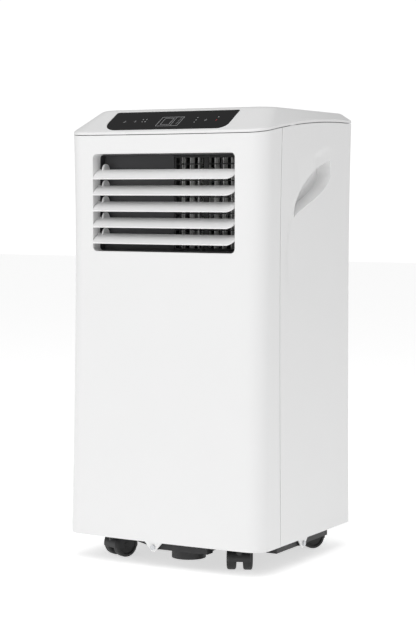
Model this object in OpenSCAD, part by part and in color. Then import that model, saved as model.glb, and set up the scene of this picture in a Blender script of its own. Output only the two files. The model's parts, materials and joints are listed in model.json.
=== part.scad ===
/* [Housing] */
// Width across the flared foot of the shells
body_w = 350; // [320:1:420]
// Width at the waist of the shells
waist_w = 341; // [311:1:418]
// Depth from the bowed front to the flat rear wall
body_d = 323; // [300:1:390]
// Height from the floor to the top of the lid
body_h = 708.5; // [680:0.5:852]
// Height of the narrowest level of the shells
waist_z = 482; // [400:1:560]
// Bottom edge of the shells above the floor
skirt_z = 40.3; // [36:0.1:46]
// How far the front face falls back from the foot to the waist
front_lean = 4; // [0:0.1:8]
// How far the middle of the front face stands ahead of its corners
front_bow = 4.5; // [1:0.1:9]
// Radius of the two front corners in plan
front_r = 28; // [18:1:36]
// Radius of the two rear corners in plan
rear_r = 11; // [7:1:20]
// Wall of the moulded shells
wall = 3; // [2:0.1:3.5]
// Distance from the front to the seam between the two shells
front_shell_d = 66.8; // [50:0.1:90]
// Visible gap at every seam between mouldings
seam_gap = 0.5; // [0.2:0.1:1]

/* [Lid] */
// Drop from the lid's top to the seam at the front
seam_drop_front = 44.5; // [36:0.5:52]
// Drop from the lid's top to the seam at the rear
seam_drop_rear = 17.5; // [10:0.5:24]
// Height of the rounded lip above the seam
lid_lip = 4; // [2:0.5:6]
// Depth in plan of the sloping control face
lid_slope_d = 67; // [50:1:90]
// Width of the flat top of the lid
lid_top_w = 306; // [270:1:360]
// Wall of the lid
lid_wall = 2.6; // [2:0.1:3.5]

/* [Control panel] */
// Width of the glossy touch overlay
overlay_w = 218; // [180:1:240]
// Length of the overlay up the slope
overlay_l = 58; // [40:1:60]
// Thickness of the overlay
overlay_t = 1.2; // [0.8:0.1:2]
// Middle of the overlay, to the left of the body's middle
overlay_off = 3; // [0:1:12]
// Width of the raised rim around the overlay
overlay_rim = 2; // [1:0.5:4]
// Thickness of the circuit board under the lid
board_t = 1.6; // [1:0.1:2.4]

/* [Louvre] */
// Width of the air outlet
outlet_w = 250; // [220:1:262]
// Height of the air outlet
outlet_h = 150.3; // [150.3:0.1:160]
// Drop from the lid's top to the top of the outlet
outlet_drop = 72; // [66:0.5:90]
// Corner radius of the outlet
outlet_r = 7; // [4:0.5:12]
// Number of horizontal blades
blade_count = 5; // [5]
// Spacing of the horizontal blades
blade_pitch = 24.8; // [24:0.1:25]
// Chord of a blade from its pivot to its front edge
blade_chord = 23.5; // [22:0.5:27]
// Slope of the blades below level, as they rest
blade_tilt = 34; // [30:1:50]
// Thickness of a blade
blade_t = 2.4; // [1.8:0.1:3]
// Radius of a blade's rounded front corner
blade_corner_r = 14; // [8:1:18]
// Radius of a blade's pivot pins
pivot_r = 2; // [1.5:0.1:2.5]
// Crank from a blade's pivot back to its link pin
crank_l = 10; // [8:0.5:12]
// Clearance round every pin that turns
run_gap = 0.05; // [0.03:0.01:0.08]
// Number of upright vanes behind the blades
vane_count = 8; // [8]
// Spacing of the upright vanes
vane_pitch = 14.5; // [14:0.1:15]
// Chord of an upright vane
vane_chord = 13; // [9:0.5:14]
// Radius of a vane's pins
vane_pin_r = 1.5; // [1.2:0.1:1.8]

/* [Handle] */
// Length of the leaf-shaped hand recess, tip to tip
leaf_l = 151; // [130:1:165]
// Depth of the hand recess
leaf_d = 24; // [18:1:30]
// Drop from the lid's top to the lower tip of the hand recess
leaf_drop = 168; // [150:1:200]
// Slope of the hand recess, tip to tip
leaf_tilt = 36; // [28:1:44]

/* [Rear] */
// Reach of the hose collar behind the rear wall
collar_reach = 22; // [16:0.5:30]
// Radius of the hose collar's bore
collar_r = 70; // [60:1:76]
// Height of the hose collar's middle
collar_z = 343; // [335:1:348]
// Middle of the hose collar, from the body's middle
collar_x = -60; // [-75:1:-50]
// Width of both rear air intakes
intake_w = 264; // [240:1:268]
// Height of the upper intake and its filter
filter_h = 188; // [170:1:190]
// Drop from the lid's top to the top of the upper intake
filter_drop = 68; // [62:1:80]
// Height of the lower intake
grille_h = 172; // [140:1:176]
// Bottom of the lower intake above the floor
grille_z = 76; // [70:1:90]
// Spacing of the intake bars
bar_pitch = 12; // [8:0.5:16]
// Radius of the upper drain socket
drain_r = 7; // [5:0.5:9]

/* [Base and casters] */
// Underside of the steel tray above the floor
tray_z = 29; // [26:1:31]
// Thickness of the tray
tray_t = 2; // [1.5:0.1:3]
// Height of the tray's upturned rim
tray_rim = 34; // [26:1:40]
// Radius of a caster wheel
wheel_r = 19.5; // [17:0.5:20]
// Width of one caster wheel
wheel_w = 14; // [10:0.5:16]
// Gap between the two wheels of a caster
wheel_gap = 11; // [9:0.5:14]
// Distance from the swivel axis back to the axle
caster_trail = 13; // [10:0.5:16]
// Radius of a caster's stem
stem_r = 5; // [4:0.5:6]
// Radius of a caster's axle
axle_r = 3; // [2:0.5:4]
// Distance of the front swivels from the front
caster_front = 50; // [44:1:60]
// Distance of the rear swivels from the rear wall
caster_rear = 56; // [46:1:66]
// Distance of the swivels from the sides of the foot
caster_side = 62; // [54:1:70]

/* [Cooling system] */
// Height of the deck between the cold and the hot chamber
deck_z = 428; // [424:1:440]
// Radius of the compressor's can
compressor_r = 54; // [45:1:58]
// Height of the compressor's can
compressor_h = 196; // [160:1:220]
// Width of both finned coils
coil_w = 262; // [230:1:270]
// Height of the evaporator
evaporator_h = 196; // [170:1:200]
// Height of the condenser
condenser_h = 186; // [160:1:190]
// Thickness of both coils
coil_d = 26; // [20:1:30]
// Radius of the cold air blower wheel
upper_wheel_r = 63; // [50:1:66]
// Width of the cold air blower wheel
upper_wheel_w = 62; // [50:1:70]
// Radius of the hot air blower wheel
lower_wheel_r = 66; // [55:1:70]
// Width of the hot air blower wheel
lower_wheel_w = 46; // [36:1:50]
// Number of blades on each blower wheel
blower_blades = 28; // [20:1:36]

/* [Hidden] */
$fn = 48;
eps = 0.01;

white = [0.95, 0.95, 0.94];
black = [0.07, 0.07, 0.08];
dark_grey = [0.24, 0.24, 0.25];
steel = [0.62, 0.63, 0.65];
copper = [0.72, 0.43, 0.27];
rubber_black = [0.12, 0.12, 0.12];

// Places that every sub-part shares. The front faces -Y.
front_y = -(body_d + collar_reach) / 2;
rear_y = front_y + body_d;
front_seam_z = body_h - seam_drop_front;
rear_seam_z = body_h - seam_drop_rear;
seam_y = front_y + front_shell_d;

// ---- Outline of the housing -------------------------------------------------

// Share of the foot's flare at a level: 1 at the skirt, 0 at the waist, 0.5 at the front seam.
function flare(z) = z < waist_z
    ? pow((waist_z - z) / (waist_z - skirt_z), 1.7)
    : 0.5 * pow((z - waist_z) / (front_seam_z - waist_z), 2);
function half_w(z) = waist_w / 2 + (body_w - waist_w) / 2 * flare(z);
function front_at(z) = front_y + front_lean * (1 - flare(z));
// Seam between shells and lid: level across the front, rising and flattening to the rear.
function seam_z(y) = rear_seam_z - (rear_seam_z - front_seam_z)
    * pow(max(0, 1 - (y - front_y) / (0.93 * body_d)), 2);

// Right half of a bowed front: middle, bow and corner arc.
function front_half(w, f, r, bow) =
    let (n = 8, edge = w - r, cy = f + bow * pow(edge / w, 2) + r)
    concat([for (i = [0:n]) let (x = (i + 0.5) / (n + 0.5) * edge) [x, f + bow * pow(x / w, 2)]],
           [for (a = [-75:15:0]) [edge + r * cos(a), cy + r * sin(a)]]);
// Right half of a flat rear: corner arc and one point near the middle.
function rear_half(w, b, r) =
    concat([for (a = [0:22.5:90]) [w - r + r * cos(a), b - r + r * sin(a)]], [[w / 8, b]]);
// Points along a straight side, strictly between two places.
side_steps = 6;
function side_run(w, y0, y1) = [for (i = [1:side_steps - 1]) [w, y0 + (y1 - y0) * i / side_steps]];
function front_corner_end(w, f, r, bow) = f + bow * pow((w - r) / w, 2) + r;
function closed(half) = concat(half, [for (i = [len(half) - 1:-1:0]) [-half[i].x, half[i].y, half[i].z]]);
function at_z(half, z) = [for (p = half) [p.x, p.y, z]];

// Whole plan outline at a level, set in by a wall.
function plan(z, inset) = closed(at_z(concat(
    front_half(half_w(z) - inset, front_at(z) + inset, front_r - inset, front_bow),
    rear_half(half_w(z) - inset, rear_y - inset, rear_r - inset)), 0));
module plan_slab(z, inset, h) {
    translate([0, 0, z]) linear_extrude(h) polygon([for (p = plan(z, inset)) [p.x, p.y]]);
}

// Solid through a stack of closed rings, each mirrored about the X = 0 plane.
module loft(rings) {
    n = len(rings[0]);
    top = (len(rings) - 1) * n;
    points = [for (ring = rings) each ring];
    sides = [for (j = [0:len(rings) - 2], i = [0:n - 1]) let (k = (i + 1) % n)
        each [[j * n + i, (j + 1) * n + i, (j + 1) * n + k], [j * n + i, (j + 1) * n + k, j * n + k]]];
    caps = [for (i = [0:n / 2 - 2]) each [
        [i, i + 1, n - 2 - i], [i, n - 2 - i, n - 1 - i],
        [top + i, top + n - 1 - i, top + n - 2 - i], [top + i, top + n - 2 - i, top + i + 1]]];
    polyhedron(points, concat(sides, caps));
}

// One level of a shell half, from z_low to the seam at its own place, lifted at both ends by over.
function level(half, z_low, t, over) = closed([for (p = half)
    let (low = z_low - over, high = seam_z(p.y) + over) [p.x, p.y, low + (high - low) * t]]);
levels = [for (i = [0:11]) i / 11];
function nominal(t) = skirt_z + (front_seam_z - skirt_z) * t;
module front_body(inset, over) {
    loft([for (t = levels) let (z = nominal(t)) level(
        concat(front_half(half_w(z) - inset, front_at(z) + inset, front_r - inset, front_bow),
               [[half_w(z) - inset, seam_y - seam_gap / 2 + over]]),
        skirt_z, t, over)]);
}
module rear_body(inset, over) {
    loft([for (t = levels) let (z = nominal(t)) level(
        let (w = half_w(z) - inset, y0 = seam_y + seam_gap / 2 - over)
            concat([[w, y0]], side_run(w, y0, rear_y - rear_r), rear_half(w, rear_y - inset, rear_r - inset)),
        skirt_z, t, over)]);
}

// ---- Small shared shapes ----------------------------------------------------

// Rectangle centred on the origin; corner radii run anticlockwise from the lower left.
function arc(cx, cy, r, a0) = [for (i = [0:6]) [cx + r * cos(a0 + 15 * i), cy + r * sin(a0 + 15 * i)]];
function rounded(w, h, radii) = concat(
    arc(-w / 2 + radii[0], -h / 2 + radii[0], radii[0], 180),
    arc(w / 2 - radii[1], -h / 2 + radii[1], radii[1], 270),
    arc(w / 2 - radii[2], h / 2 - radii[2], radii[2], 0),
    arc(-w / 2 + radii[3], h / 2 - radii[3], radii[3], 90));
// Upright plate: its face in the XZ plane, from y0 back to y1.
module wall_prism(w, h, r, y0, y1) {
    translate([0, y1, 0]) rotate([90, 0, 0]) linear_extrude(y1 - y0) polygon(rounded(w, h, [r, r, r, r]));
}
// The same plate as a hull, for the moulded shells.
module soft_prism(w, h, r, y0, y1) {
    hull() for (x = [-w / 2 + r, w / 2 - r], z = [-h / 2 + r, h / 2 - r])
        translate([x, 0, z]) along_y(r, y0, y1, 32);
}
module along_x(r, x0, x1) { translate([x0, 0, 0]) rotate([0, 90, 0]) cylinder(r = r, h = x1 - x0); }
module along_y(r, y0, y1, fn = 48) {
    translate([0, y1, 0]) rotate([90, 0, 0]) cylinder(r = r, h = y1 - y0, $fn = fn);
}
module block(x0, x1, y0, y1, z0, z1) { translate([x0, y0, z0]) cube([x1 - x0, y1 - y0, z1 - z0]); }
module both_sides() { children(); mirror([1, 0, 0]) children(); }

// ---- Screw lugs of the shells -----------------------------------------------

screw_r = 2;
screw_head_r = 4;
lug_t = 3.4;
lug_w = 46;
lug_drop = 15;
lug_up = 12;
lug_tip_r = 6;
// A lug hangs below the skirt, lying in the XZ plane with its outer face at y = 0.
module lug() {
    difference() {
        hull() {
            block(-lug_w / 2, lug_w / 2, 0, lug_t, -3, lug_up);
            translate([0, 0, -lug_drop + lug_tip_r]) along_y(lug_tip_r, 0, lug_t, 32);
        }
        translate([0, 0, -8]) along_y(screw_r + run_gap, -1, lug_t + 1);
    }
}
front_lug_x = -12;
side_lug_y = front_y + 150;
lug_sink = 1;
module front_lug() { translate([front_lug_x, front_at(skirt_z) + wall - lug_sink, skirt_z]) lug(); }
module side_lug() {
    translate([half_w(skirt_z) - wall + lug_sink, side_lug_y, skirt_z]) rotate([0, 0, 90]) lug();
}

// ---- Shells and lid ---------------------------------------------------------

outlet_top = body_h - outlet_drop;
outlet_mid = outlet_top - outlet_h / 2;
lip_back = front_y + 9.5;
module front_shell() color(white) {
    difference() {
        front_body(0, 0);
        difference() {
            front_body(wall, 1);
            translate([0, 0, outlet_mid])
                soft_prism(outlet_w + 5, outlet_h + 5, outlet_r + 2.5, front_y, lip_back);
        }
        translate([0, 0, outlet_mid])
            soft_prism(outlet_w, outlet_h, outlet_r, front_y - 5, front_y + 30);
    }
    front_lug();
    both_sides() for (z = tab_levels) seam_tab(z);
}
// Tongues that hold the two shells in line at their side seam.
tab_levels = [skirt_z + 40, waist_z - 170, waist_z + 60];
tab_t = 2.2;
tab_gap = 0.4;
tab_h = 24;
module seam_tab(z) {
    x = min(half_w(z), half_w(z + tab_h)) - wall - tab_gap;
    hull() block(x - tab_t, x + tab_gap + 0.8, seam_y - 10, seam_y - 4, z, z + tab_h);
    hull() block(x - tab_t, x, seam_y - 9, seam_y + 9, z + 2, z + tab_h - 2);
}

// Leaf outline in its own frame: tips on the x axis, built from two cubic curves.
function bezier(p, t) = p[0] * pow(1 - t, 3) + 3 * p[1] * t * pow(1 - t, 2)
    + 3 * p[2] * t * t * (1 - t) + p[3] * pow(t, 3);
function leaf(l) = l * concat(
    [for (i = [0:11]) bezier([[0, 0], [0.33, -0.015], [0.96, -0.385], [1, 0]], i / 12)],
    [for (i = [0:11]) bezier([[1, 0], [0.53, 0.225], [0.08, 0.16], [0, 0]], i / 12)]);
leaf_tip_y = front_y + 115;
leaf_tip_z = body_h - leaf_drop;
cup_wall = 2.5;
// Leaf prism on the right side wall, from x0 out to x1, grown all round.
module leaf_prism(grow, x0, x1) {
    s = 1 + 2 * grow / leaf_l;
    translate([x0, leaf_tip_y, leaf_tip_z]) rotate([90, 0, 90]) rotate([0, 0, leaf_tilt])
        translate([-grow, 0, 0]) linear_extrude(x1 - x0) polygon(leaf(leaf_l * s));
}
cup_floor_x = waist_w / 2 - leaf_d;

filter_top = body_h - filter_drop;
filter_mid = filter_top - filter_h / 2;
grille_mid = grille_z + grille_h / 2;
intake_r = 6;
drain_x = 125;
drain_z = deck_z + 12.5;
plug_x = 50;
plug_z = tray_z + 25;
plug_r = 6;
spout_wall = 2.5;
gland_x = 132;
gland_z = 300;
gland_r = 8;
module rear_shell() color(white) {
    difference() {
        union() {
            difference() {
                rear_body(0, 0);
                rear_body(wall, 1);
            }
            both_sides() intersection() {
                leaf_prism(cup_wall, cup_floor_x - cup_wall, half_w(outlet_mid) + 5);
                rear_body(0.5, 0);
            }
        }
        both_sides() leaf_prism(0, cup_floor_x, half_w(outlet_mid) + 20);
        translate([0, 0, filter_mid]) soft_prism(intake_w, filter_h, intake_r, rear_y - 9, rear_y + 5);
        translate([0, 0, grille_mid]) soft_prism(intake_w, grille_h, intake_r, rear_y - 9, rear_y + 5);
        translate([collar_x, 0, collar_z]) along_y(collar_r + collar_wall + 0.5, rear_y - 9, rear_y + 5);
        translate([drain_x, 0, drain_z]) along_y(drain_r + spout_wall + 0.4, rear_y - 9, rear_y + 5);
        translate([plug_x, 0, plug_z]) along_y(plug_r + spout_wall + 0.4, rear_y - 9, rear_y + 5);
        translate([gland_x, 0, gland_z]) along_y(gland_r + 0.2, rear_y - 9, rear_y + 5);
    }
    both_sides() {
        side_lug();
        for (z = [skirt_z + 30, front_seam_z - 40]) corner_boss(z);
    }
}
// Hollow-looking stiffeners in the rear corners, webbed to both walls.
boss_h = 22;
module corner_boss(z) {
    x = min(half_w(z), half_w(z + boss_h)) - wall;
    y = rear_y - wall;
    hull() {
        translate([x - 8, y - 8, z]) cylinder(r = 4, h = boss_h, $fn = 32);
        block(x - 8, x + 0.8, y - 6, y - 4, z, z + boss_h);
        block(x - 6, x - 4, y - 8, y + 0.8, z, z + boss_h);
    }
}

// The lid rises from the seam over a rounded lip, then slopes in to its flat top.
lid_top_r = 24;
lid_rear_step = 1;
lid_fall = 1.5;
function top_z(y) = body_h - lid_fall * (1 - (y - front_y) / body_d);
// Outline of the lid at one height. Its side points, split at mid, let the foot follow the curved seam.
function lid_outline(w, f, b, r, bow, mid) = concat(front_half(w, f, r, bow),
    side_run(w, front_corner_end(w, f, r, bow), mid), [[w, mid]],
    side_run(w, mid, b - rear_r), rear_half(w, b, rear_r));
function lid_foot(inset) = lid_outline(half_w(front_seam_z) - inset, front_at(front_seam_z) + inset,
    rear_y - inset, front_r - inset, front_bow, seam_y);
function lid_head(inset) = lid_outline(lid_top_w / 2 - inset, front_y + lid_slope_d + inset,
    rear_y - lid_rear_step - inset, lid_top_r - inset, 0, seam_y + lid_slope_d);
function mix(a, b, t) = a + (b - a) * t;
// Ring between foot and head: share s of the way in, share h of the way up from the lip.
function lid_ring(inset, s, h, drop) = let (foot = lid_foot(inset), head = lid_head(inset))
    closed([for (i = [0:len(foot) - 1]) let (p = mix(foot[i], head[i], s),
        low = seam_z(foot[i].y) + seam_gap + lid_lip) [p.x, p.y, mix(low, top_z(head[i].y), h) - drop]]);
module lid_outer() {
    loft([lid_ring(0, 0, 0, lid_lip), lid_ring(0, 0, 0, lid_lip * 0.4), lid_ring(0.5, 0, 0, 0.5),
          lid_ring(0, 0.03, 0.04, 0), lid_ring(0, 0.5, 0.53, 0), lid_ring(0, 0.93, 0.955, 0),
          lid_ring(0, 0.985, 0.993, 0), lid_ring(0.5, 1, 1, 0)]);
}
module lid_inner() {
    loft([lid_ring(lid_wall, 0, 0, lid_lip + 1), lid_ring(lid_wall, 0, 0, lid_wall * 0.6),
          lid_ring(lid_wall, 0.5, 0.53, lid_wall), lid_ring(lid_wall, 0.96, 0.96, lid_wall),
          lid_ring(lid_wall, 1, 1, lid_wall)]);
}
// Frame of the sloping control face: x along the width, y up the slope, z out of the face.
slope_y0 = front_at(front_seam_z) + 1.5;
slope_z0 = front_seam_z + seam_gap + lid_lip;
slope_a = atan((top_z(front_y + lid_slope_d) - slope_z0) / (front_y + lid_slope_d - slope_y0));
overlay_start = 6;
seat_under = -3.8;
seat_over = 0.6;
pocket_z = seat_over - 0.2 - overlay_t;
module on_slope() {
    translate([-overlay_off, slope_y0, slope_z0]) rotate([slope_a, 0, 0])
        translate([0, overlay_start + overlay_l / 2, 0]) children();
}
overlay_radii = [26, 15, 3, 3];
module overlay_shape(grow) {
    polygon(rounded(overlay_w + 2 * grow, overlay_l + 2 * grow, [for (r = overlay_radii) r + grow]));
}
// The same shape as a hull, for the lid's seat and pocket.
module overlay_prism(grow, z0, z1) {
    sides = [[-1, -1], [1, -1], [1, 1], [-1, 1]];
    hull() for (i = [0:3]) let (r = overlay_radii[i])
        translate([sides[i].x * (overlay_w / 2 - r), sides[i].y * (overlay_l / 2 - r), z0])
            cylinder(r = r + grow, h = z1 - z0, $fn = 32);
}
boss_x = 62;
boss_y = 18;
boss_l = 6;
module four(x, y) { for (sx = [-1, 1], sy = [-1, 1]) translate([sx * x, sy * y, 0]) children(); }
module top_lid() color(white) {
    difference() {
        union() {
            difference() {
                lid_outer();
                lid_inner();
            }
            on_slope() overlay_prism(overlay_rim, seat_under, seat_over);
            on_slope() four(boss_x, boss_y) translate([0, 0, seat_under - boss_l])
                cylinder(r = 3, h = boss_l + 0.5);
            both_sides() for (y = [front_y + 110, front_y + 190, front_y + 270]) lid_tab(y);
        }
        on_slope() overlay_prism(0.15, pocket_z, 10);
    }
}
// Snap tongues that hang from the lid inside the shells.
module lid_tab(y) {
    x = half_w(front_seam_z) - wall - 0.6;
    z = seam_z(y);
    hull() block(x - tab_t, x + 1.6, y - 9, y + 9, z + 1.5, z + 3.4);
    hull() block(x - tab_t, x, y - 9, y + 9, z - 9, z + 3.4);
}
module control_overlay() color(black) {
    on_slope() translate([0, 0, pocket_z]) linear_extrude(overlay_t) overlay_shape(0);
}
module control_board() color([0.10, 0.32, 0.20]) {
    on_slope() translate([0, 0, seat_under - boss_l - board_t]) {
        linear_extrude(board_t) square([2 * boss_x + 16, 2 * boss_y + 10], center = true);
        translate([-8, 2, board_t - eps]) linear_extrude(4) square([38, 22], center = true);
        translate([40, -6, -6]) linear_extrude(6 + eps) square([26, 12], center = true);
        for (x = [-54, -38, 42, 56]) translate([x, -12, board_t - eps]) cylinder(r = 4, h = 3);
    }
}

// ---- Air outlet, louvre and vanes -------------------------------------------

bezel_wall = 2.5;
pivot_y = front_y + 23;
bezel_back = pivot_y + 4;
blade_drop = 25;
end_gap = 1.2;
function pivot_z(k) = outlet_top - blade_drop - (k - 1) * blade_pitch;
module outlet_bezel() color(white) {
    difference() {
        translate([0, 0, outlet_mid]) difference() {
            wall_prism(outlet_w + 2 * bezel_wall, outlet_h + 2 * bezel_wall, outlet_r + bezel_wall,
                lip_back, bezel_back);
            wall_prism(outlet_w, outlet_h, outlet_r, lip_back - 1, bezel_back + 1);
        }
        for (k = [1:blade_count]) translate([0, pivot_y, pivot_z(k)]) {
            along_x(pivot_r + run_gap, -outlet_w, outlet_w);
            block(-outlet_w, outlet_w, 0, 5, -pivot_r - run_gap, pivot_r + run_gap);
        }
    }
}

// Cross-section of a blade: s runs from the pivot to the front edge, n is across its thickness.
blade_bulge = 1.6;
function blade_side(side) = [for (i = [0:8]) let (u = i / 8)
    [u * blade_chord, -blade_bulge * sin(180 * u) + side * blade_t / 2 * (1 - 0.35 * pow(u, 4))]];
function reversed(list) = [for (i = [len(list) - 1:-1:0]) list[i]];
blade_section = concat(blade_side(-1), [[blade_chord + 0.7, 0.2]], reversed(blade_side(1)),
                       [[-blade_t / 2, 0]]);
ear_x = -outlet_w / 2 + 8;
ear_t = 3;
ear_r = 9.5;
pin_stub = 1.8;
crank_pin_r = 1.5;
crank_a = -20;
function crank_y() = pivot_y + crank_l * cos(crank_a);
function crank_z(k) = pivot_z(k) + crank_l * sin(crank_a);
module blade(k) color(white) {
    half = outlet_w / 2 - end_gap;
    translate([0, pivot_y, pivot_z(k)]) {
        rotate([180 + blade_tilt, 0, 0]) difference() {
            rotate([90, 0, 90]) translate([0, 0, -half]) linear_extrude(2 * half) polygon(blade_section);
            translate([half - blade_corner_r, blade_chord + 0.7 - blade_corner_r, -10]) difference() {
                cube([blade_corner_r + 1, blade_corner_r + 1, 20]);
                translate([0, 0, -1]) cylinder(r = blade_corner_r, h = 22);
            }
        }
        both_sides() along_x(pivot_r, half - pin_stub, outlet_w / 2 + bezel_wall - 0.5);
        translate([0, ear_r * 0.53, ear_r * 0.03]) along_x(ear_r, ear_x, ear_x + ear_t);
    }
    translate([0, crank_y(), crank_z(k)]) along_x(crank_pin_r, ear_x - 4.6, ear_x + 1);
}
module louvre_blade_1() { blade(1); }
module louvre_blade_2() { blade(2); }
module louvre_blade_3() { blade(3); }
module louvre_blade_4() { blade(4); }
module louvre_blade_5() { blade(5); }

link_w = 6;
link_t = 3;
module louvre_link() color(dark_grey) {
    x0 = ear_x - 1 - link_t;
    difference() {
        block(x0, x0 + link_t, crank_y() - link_w / 2, crank_y() + link_w / 2,
            crank_z(blade_count) - 4, crank_z(1) + 4);
        for (k = [1:blade_count]) translate([0, crank_y(), crank_z(k)])
            along_x(crank_pin_r + run_gap, x0 - 1, x0 + link_t + 1);
    }
}
motor_r = 14;
module louvre_motor() color(steel) {
    x1 = -outlet_w / 2 - bezel_wall;
    translate([0, pivot_y, pivot_z(3)]) {
        translate([0, 8, 0]) along_x(motor_r, x1 - 19, x1);
        block(x1 - 1, x1, 6, 10, -21, 21);
    }
}

duct_wall = 2.2;
duct_front_d = 14;
throat_x = -12.6;
throat_w = 120;
throat_y = front_y + 63;
scroll_front = front_y + 113;
duct_h = outlet_h - 4;
// Inside of the duct in plan: straight, then a long slant on the left and a short one on the right.
function duct_plan(t, ends) = [
    [-outlet_w / 2 - t, bezel_back - ends], [outlet_w / 2 + t, bezel_back - ends],
    [outlet_w / 2 + t, bezel_back + duct_front_d], [throat_x + throat_w + t, throat_y + t],
    [throat_x + throat_w + t, scroll_front + ends], [throat_x - t, scroll_front + ends],
    [throat_x - t, throat_y + t], [-outlet_w / 2 - t, bezel_back + duct_front_d + t]];
vane_y = throat_y + 16;
function vane_x(k) = throat_x + throat_w / 2 + (k - (vane_count + 1) / 2) * vane_pitch;
vane_h = duct_h - 4;
module outlet_duct() color(dark_grey) {
    difference() {
        translate([0, 0, outlet_mid - duct_h / 2 - duct_wall])
            linear_extrude(duct_h + 2 * duct_wall) polygon(duct_plan(duct_wall, 0));
        translate([0, 0, outlet_mid - duct_h / 2]) linear_extrude(duct_h) polygon(duct_plan(0, 1));
        for (k = [1:vane_count]) translate([vane_x(k), vane_y, outlet_mid - outlet_h])
            cylinder(r = vane_pin_r + run_gap, h = 2 * outlet_h);
    }
}

// Black safety grid across the throat: a frame, level wires and a few upright bars.
guard_t = 2.6;
wire_r = 0.9;
wire_pitch = 8.45;
guard_bar = 8;
module outlet_guard() color(black) {
    x0 = throat_x + 0.3;
    x1 = throat_x + throat_w - 0.3;
    h = duct_h - 0.6;
    translate([0, throat_y + 1, outlet_mid]) {
        difference() {
            block(x0, x1, 0, guard_t, -h / 2, h / 2);
            block(x0 + 3, x1 - 3, -1, guard_t + 1, -h / 2 + 3, h / 2 - 3);
        }
        for (i = [-7:7]) translate([0, guard_t / 2, i * wire_pitch + 1]) along_x(wire_r, x0 + 1, x1 - 1);
        block(x0 + 52, x0 + 52 + guard_bar, 0.4, guard_t - 0.4, -h / 2 + 1, h / 2 - 1);
        for (x = [9, 19, 45, 82]) block(x0 + x, x0 + x + 1.8, 0.4, guard_t - 0.4, -h / 2 + 1, h / 2 - 1);
    }
}

vane_t = 1.6;
arm_l = 10;
arm_z = outlet_mid - vane_h / 2 + 8;
arm_pin_r = 1.2;
module vane(k) color([0.80, 0.80, 0.79]) {
    translate([vane_x(k), vane_y, 0]) {
        block(-vane_t / 2, vane_t / 2, -vane_chord / 2, vane_chord / 2,
            outlet_mid - vane_h / 2, outlet_mid + vane_h / 2);
        translate([0, 0, outlet_mid - duct_h / 2 - duct_wall])
            cylinder(r = vane_pin_r, h = duct_h + 2 * duct_wall);
        block(-vane_t / 2, vane_t / 2, 0, arm_l + 2, arm_z, arm_z + 2.5);
        translate([0, arm_l, arm_z - 4]) cylinder(r = arm_pin_r, h = 5);
    }
}
module vane_1() { vane(1); }
module vane_2() { vane(2); }
module vane_3() { vane(3); }
module vane_4() { vane(4); }
module vane_5() { vane(5); }
module vane_6() { vane(6); }
module vane_7() { vane(7); }
module vane_8() { vane(8); }
module vane_link() color(dark_grey) {
    difference() {
        block(vane_x(1) - 4, vane_x(vane_count) + 4, vane_y + arm_l - 2.5, vane_y + arm_l + 2.5,
            arm_z - 3.5, arm_z - 0.5);
        for (k = [1:vane_count]) translate([vane_x(k), vane_y + arm_l, arm_z - 5])
            cylinder(r = arm_pin_r + run_gap, h = 6);
    }
}

// ---- Rear covers ------------------------------------------------------------

cover_gap = 0.6;
cover_d = 9;
cover_rim = 7;
bar_t = 2.4;
// Panel of level bars in a frame, flush with the rear wall.
module barred_panel(h, r) {
    w = intake_w - 2 * cover_gap;
    inner_h = h - 2 * cover_gap - 2 * cover_rim;
    count = floor(inner_h / bar_pitch);
    difference() {
        wall_prism(w, h - 2 * cover_gap, r, rear_y - cover_d, rear_y);
        wall_prism(w - 2 * cover_rim, inner_h, 2, rear_y - cover_d - 1, rear_y + 1);
    }
    for (i = [1:count - 1]) let (z = -inner_h / 2 + i * inner_h / count)
        block(-w / 2 + 2, w / 2 - 2, rear_y - 6, rear_y - 0.6, z - bar_t / 2, z + bar_t / 2);
    for (x = [-w / 4, 0, w / 4])
        block(x - bar_t / 2, x + bar_t / 2, rear_y - 7, rear_y - 1.2, -h / 2 + 3, h / 2 - 3);
}
mesh_t = 1;
module filter_frame() color(white) {
    translate([0, 0, filter_mid]) barred_panel(filter_h, intake_r);
}
module filter_mesh() color([0.30, 0.36, 0.42]) {
    translate([0, 0, filter_mid]) wall_prism(intake_w - 2 * cover_gap - 4, filter_h - 2 * cover_gap - 4, 3,
        rear_y - cover_d - mesh_t, rear_y - cover_d);
}
module lower_grille() color(white) {
    translate([0, 0, grille_mid]) barred_panel(grille_h, intake_r);
}

collar_wall = 3;
collar_flange = 9;
flange_t = 2.4;
hot_rear = rear_y - 46;
module exhaust_collar() color(white) {
    translate([collar_x, 0, collar_z]) {
        difference() {
            union() {
                along_y(collar_r + collar_wall, hot_rear, rear_y + collar_reach);
                along_y(collar_r + collar_flange, rear_y, rear_y + flange_t);
                for (a = [45:90:315]) rotate([0, a, 0])
                    block(-6, 6, rear_y + 12, rear_y + 15, collar_r + 1, collar_r + collar_wall + 3);
            }
            along_y(collar_r, hot_rear - 1, rear_y + collar_reach + 1);
        }
    }
}
plug_reach = 10;
module stopper(r, head) {
    along_y(r - run_gap, rear_y - 8, rear_y + 3.2);
    along_y(head, rear_y + 3.2, rear_y + 6.5);
    block(-1.5, 1.5, rear_y + 6.4, rear_y + plug_reach, -head * 0.7, head * 0.7);
}
module drain_cap() color(white) { translate([drain_x, 0, drain_z]) stopper(drain_r, drain_r + 3.5); }
module drain_plug() color(black) { translate([plug_x, 0, plug_z]) stopper(plug_r, plug_r + 3.5); }
module cord_gland() color(black) {
    translate([gland_x, 0, gland_z]) difference() {
        union() {
            along_y(gland_r, rear_y - 12, rear_y + 7);
            along_y(gland_r + 3.5, rear_y, rear_y + 2);
            along_y(gland_r + 3.5, rear_y - wall - 4, rear_y - wall);
        }
        along_y(4.2, rear_y - 13, rear_y + 8);
    }
}

// ---- Base, casters ----------------------------------------------------------

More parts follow.
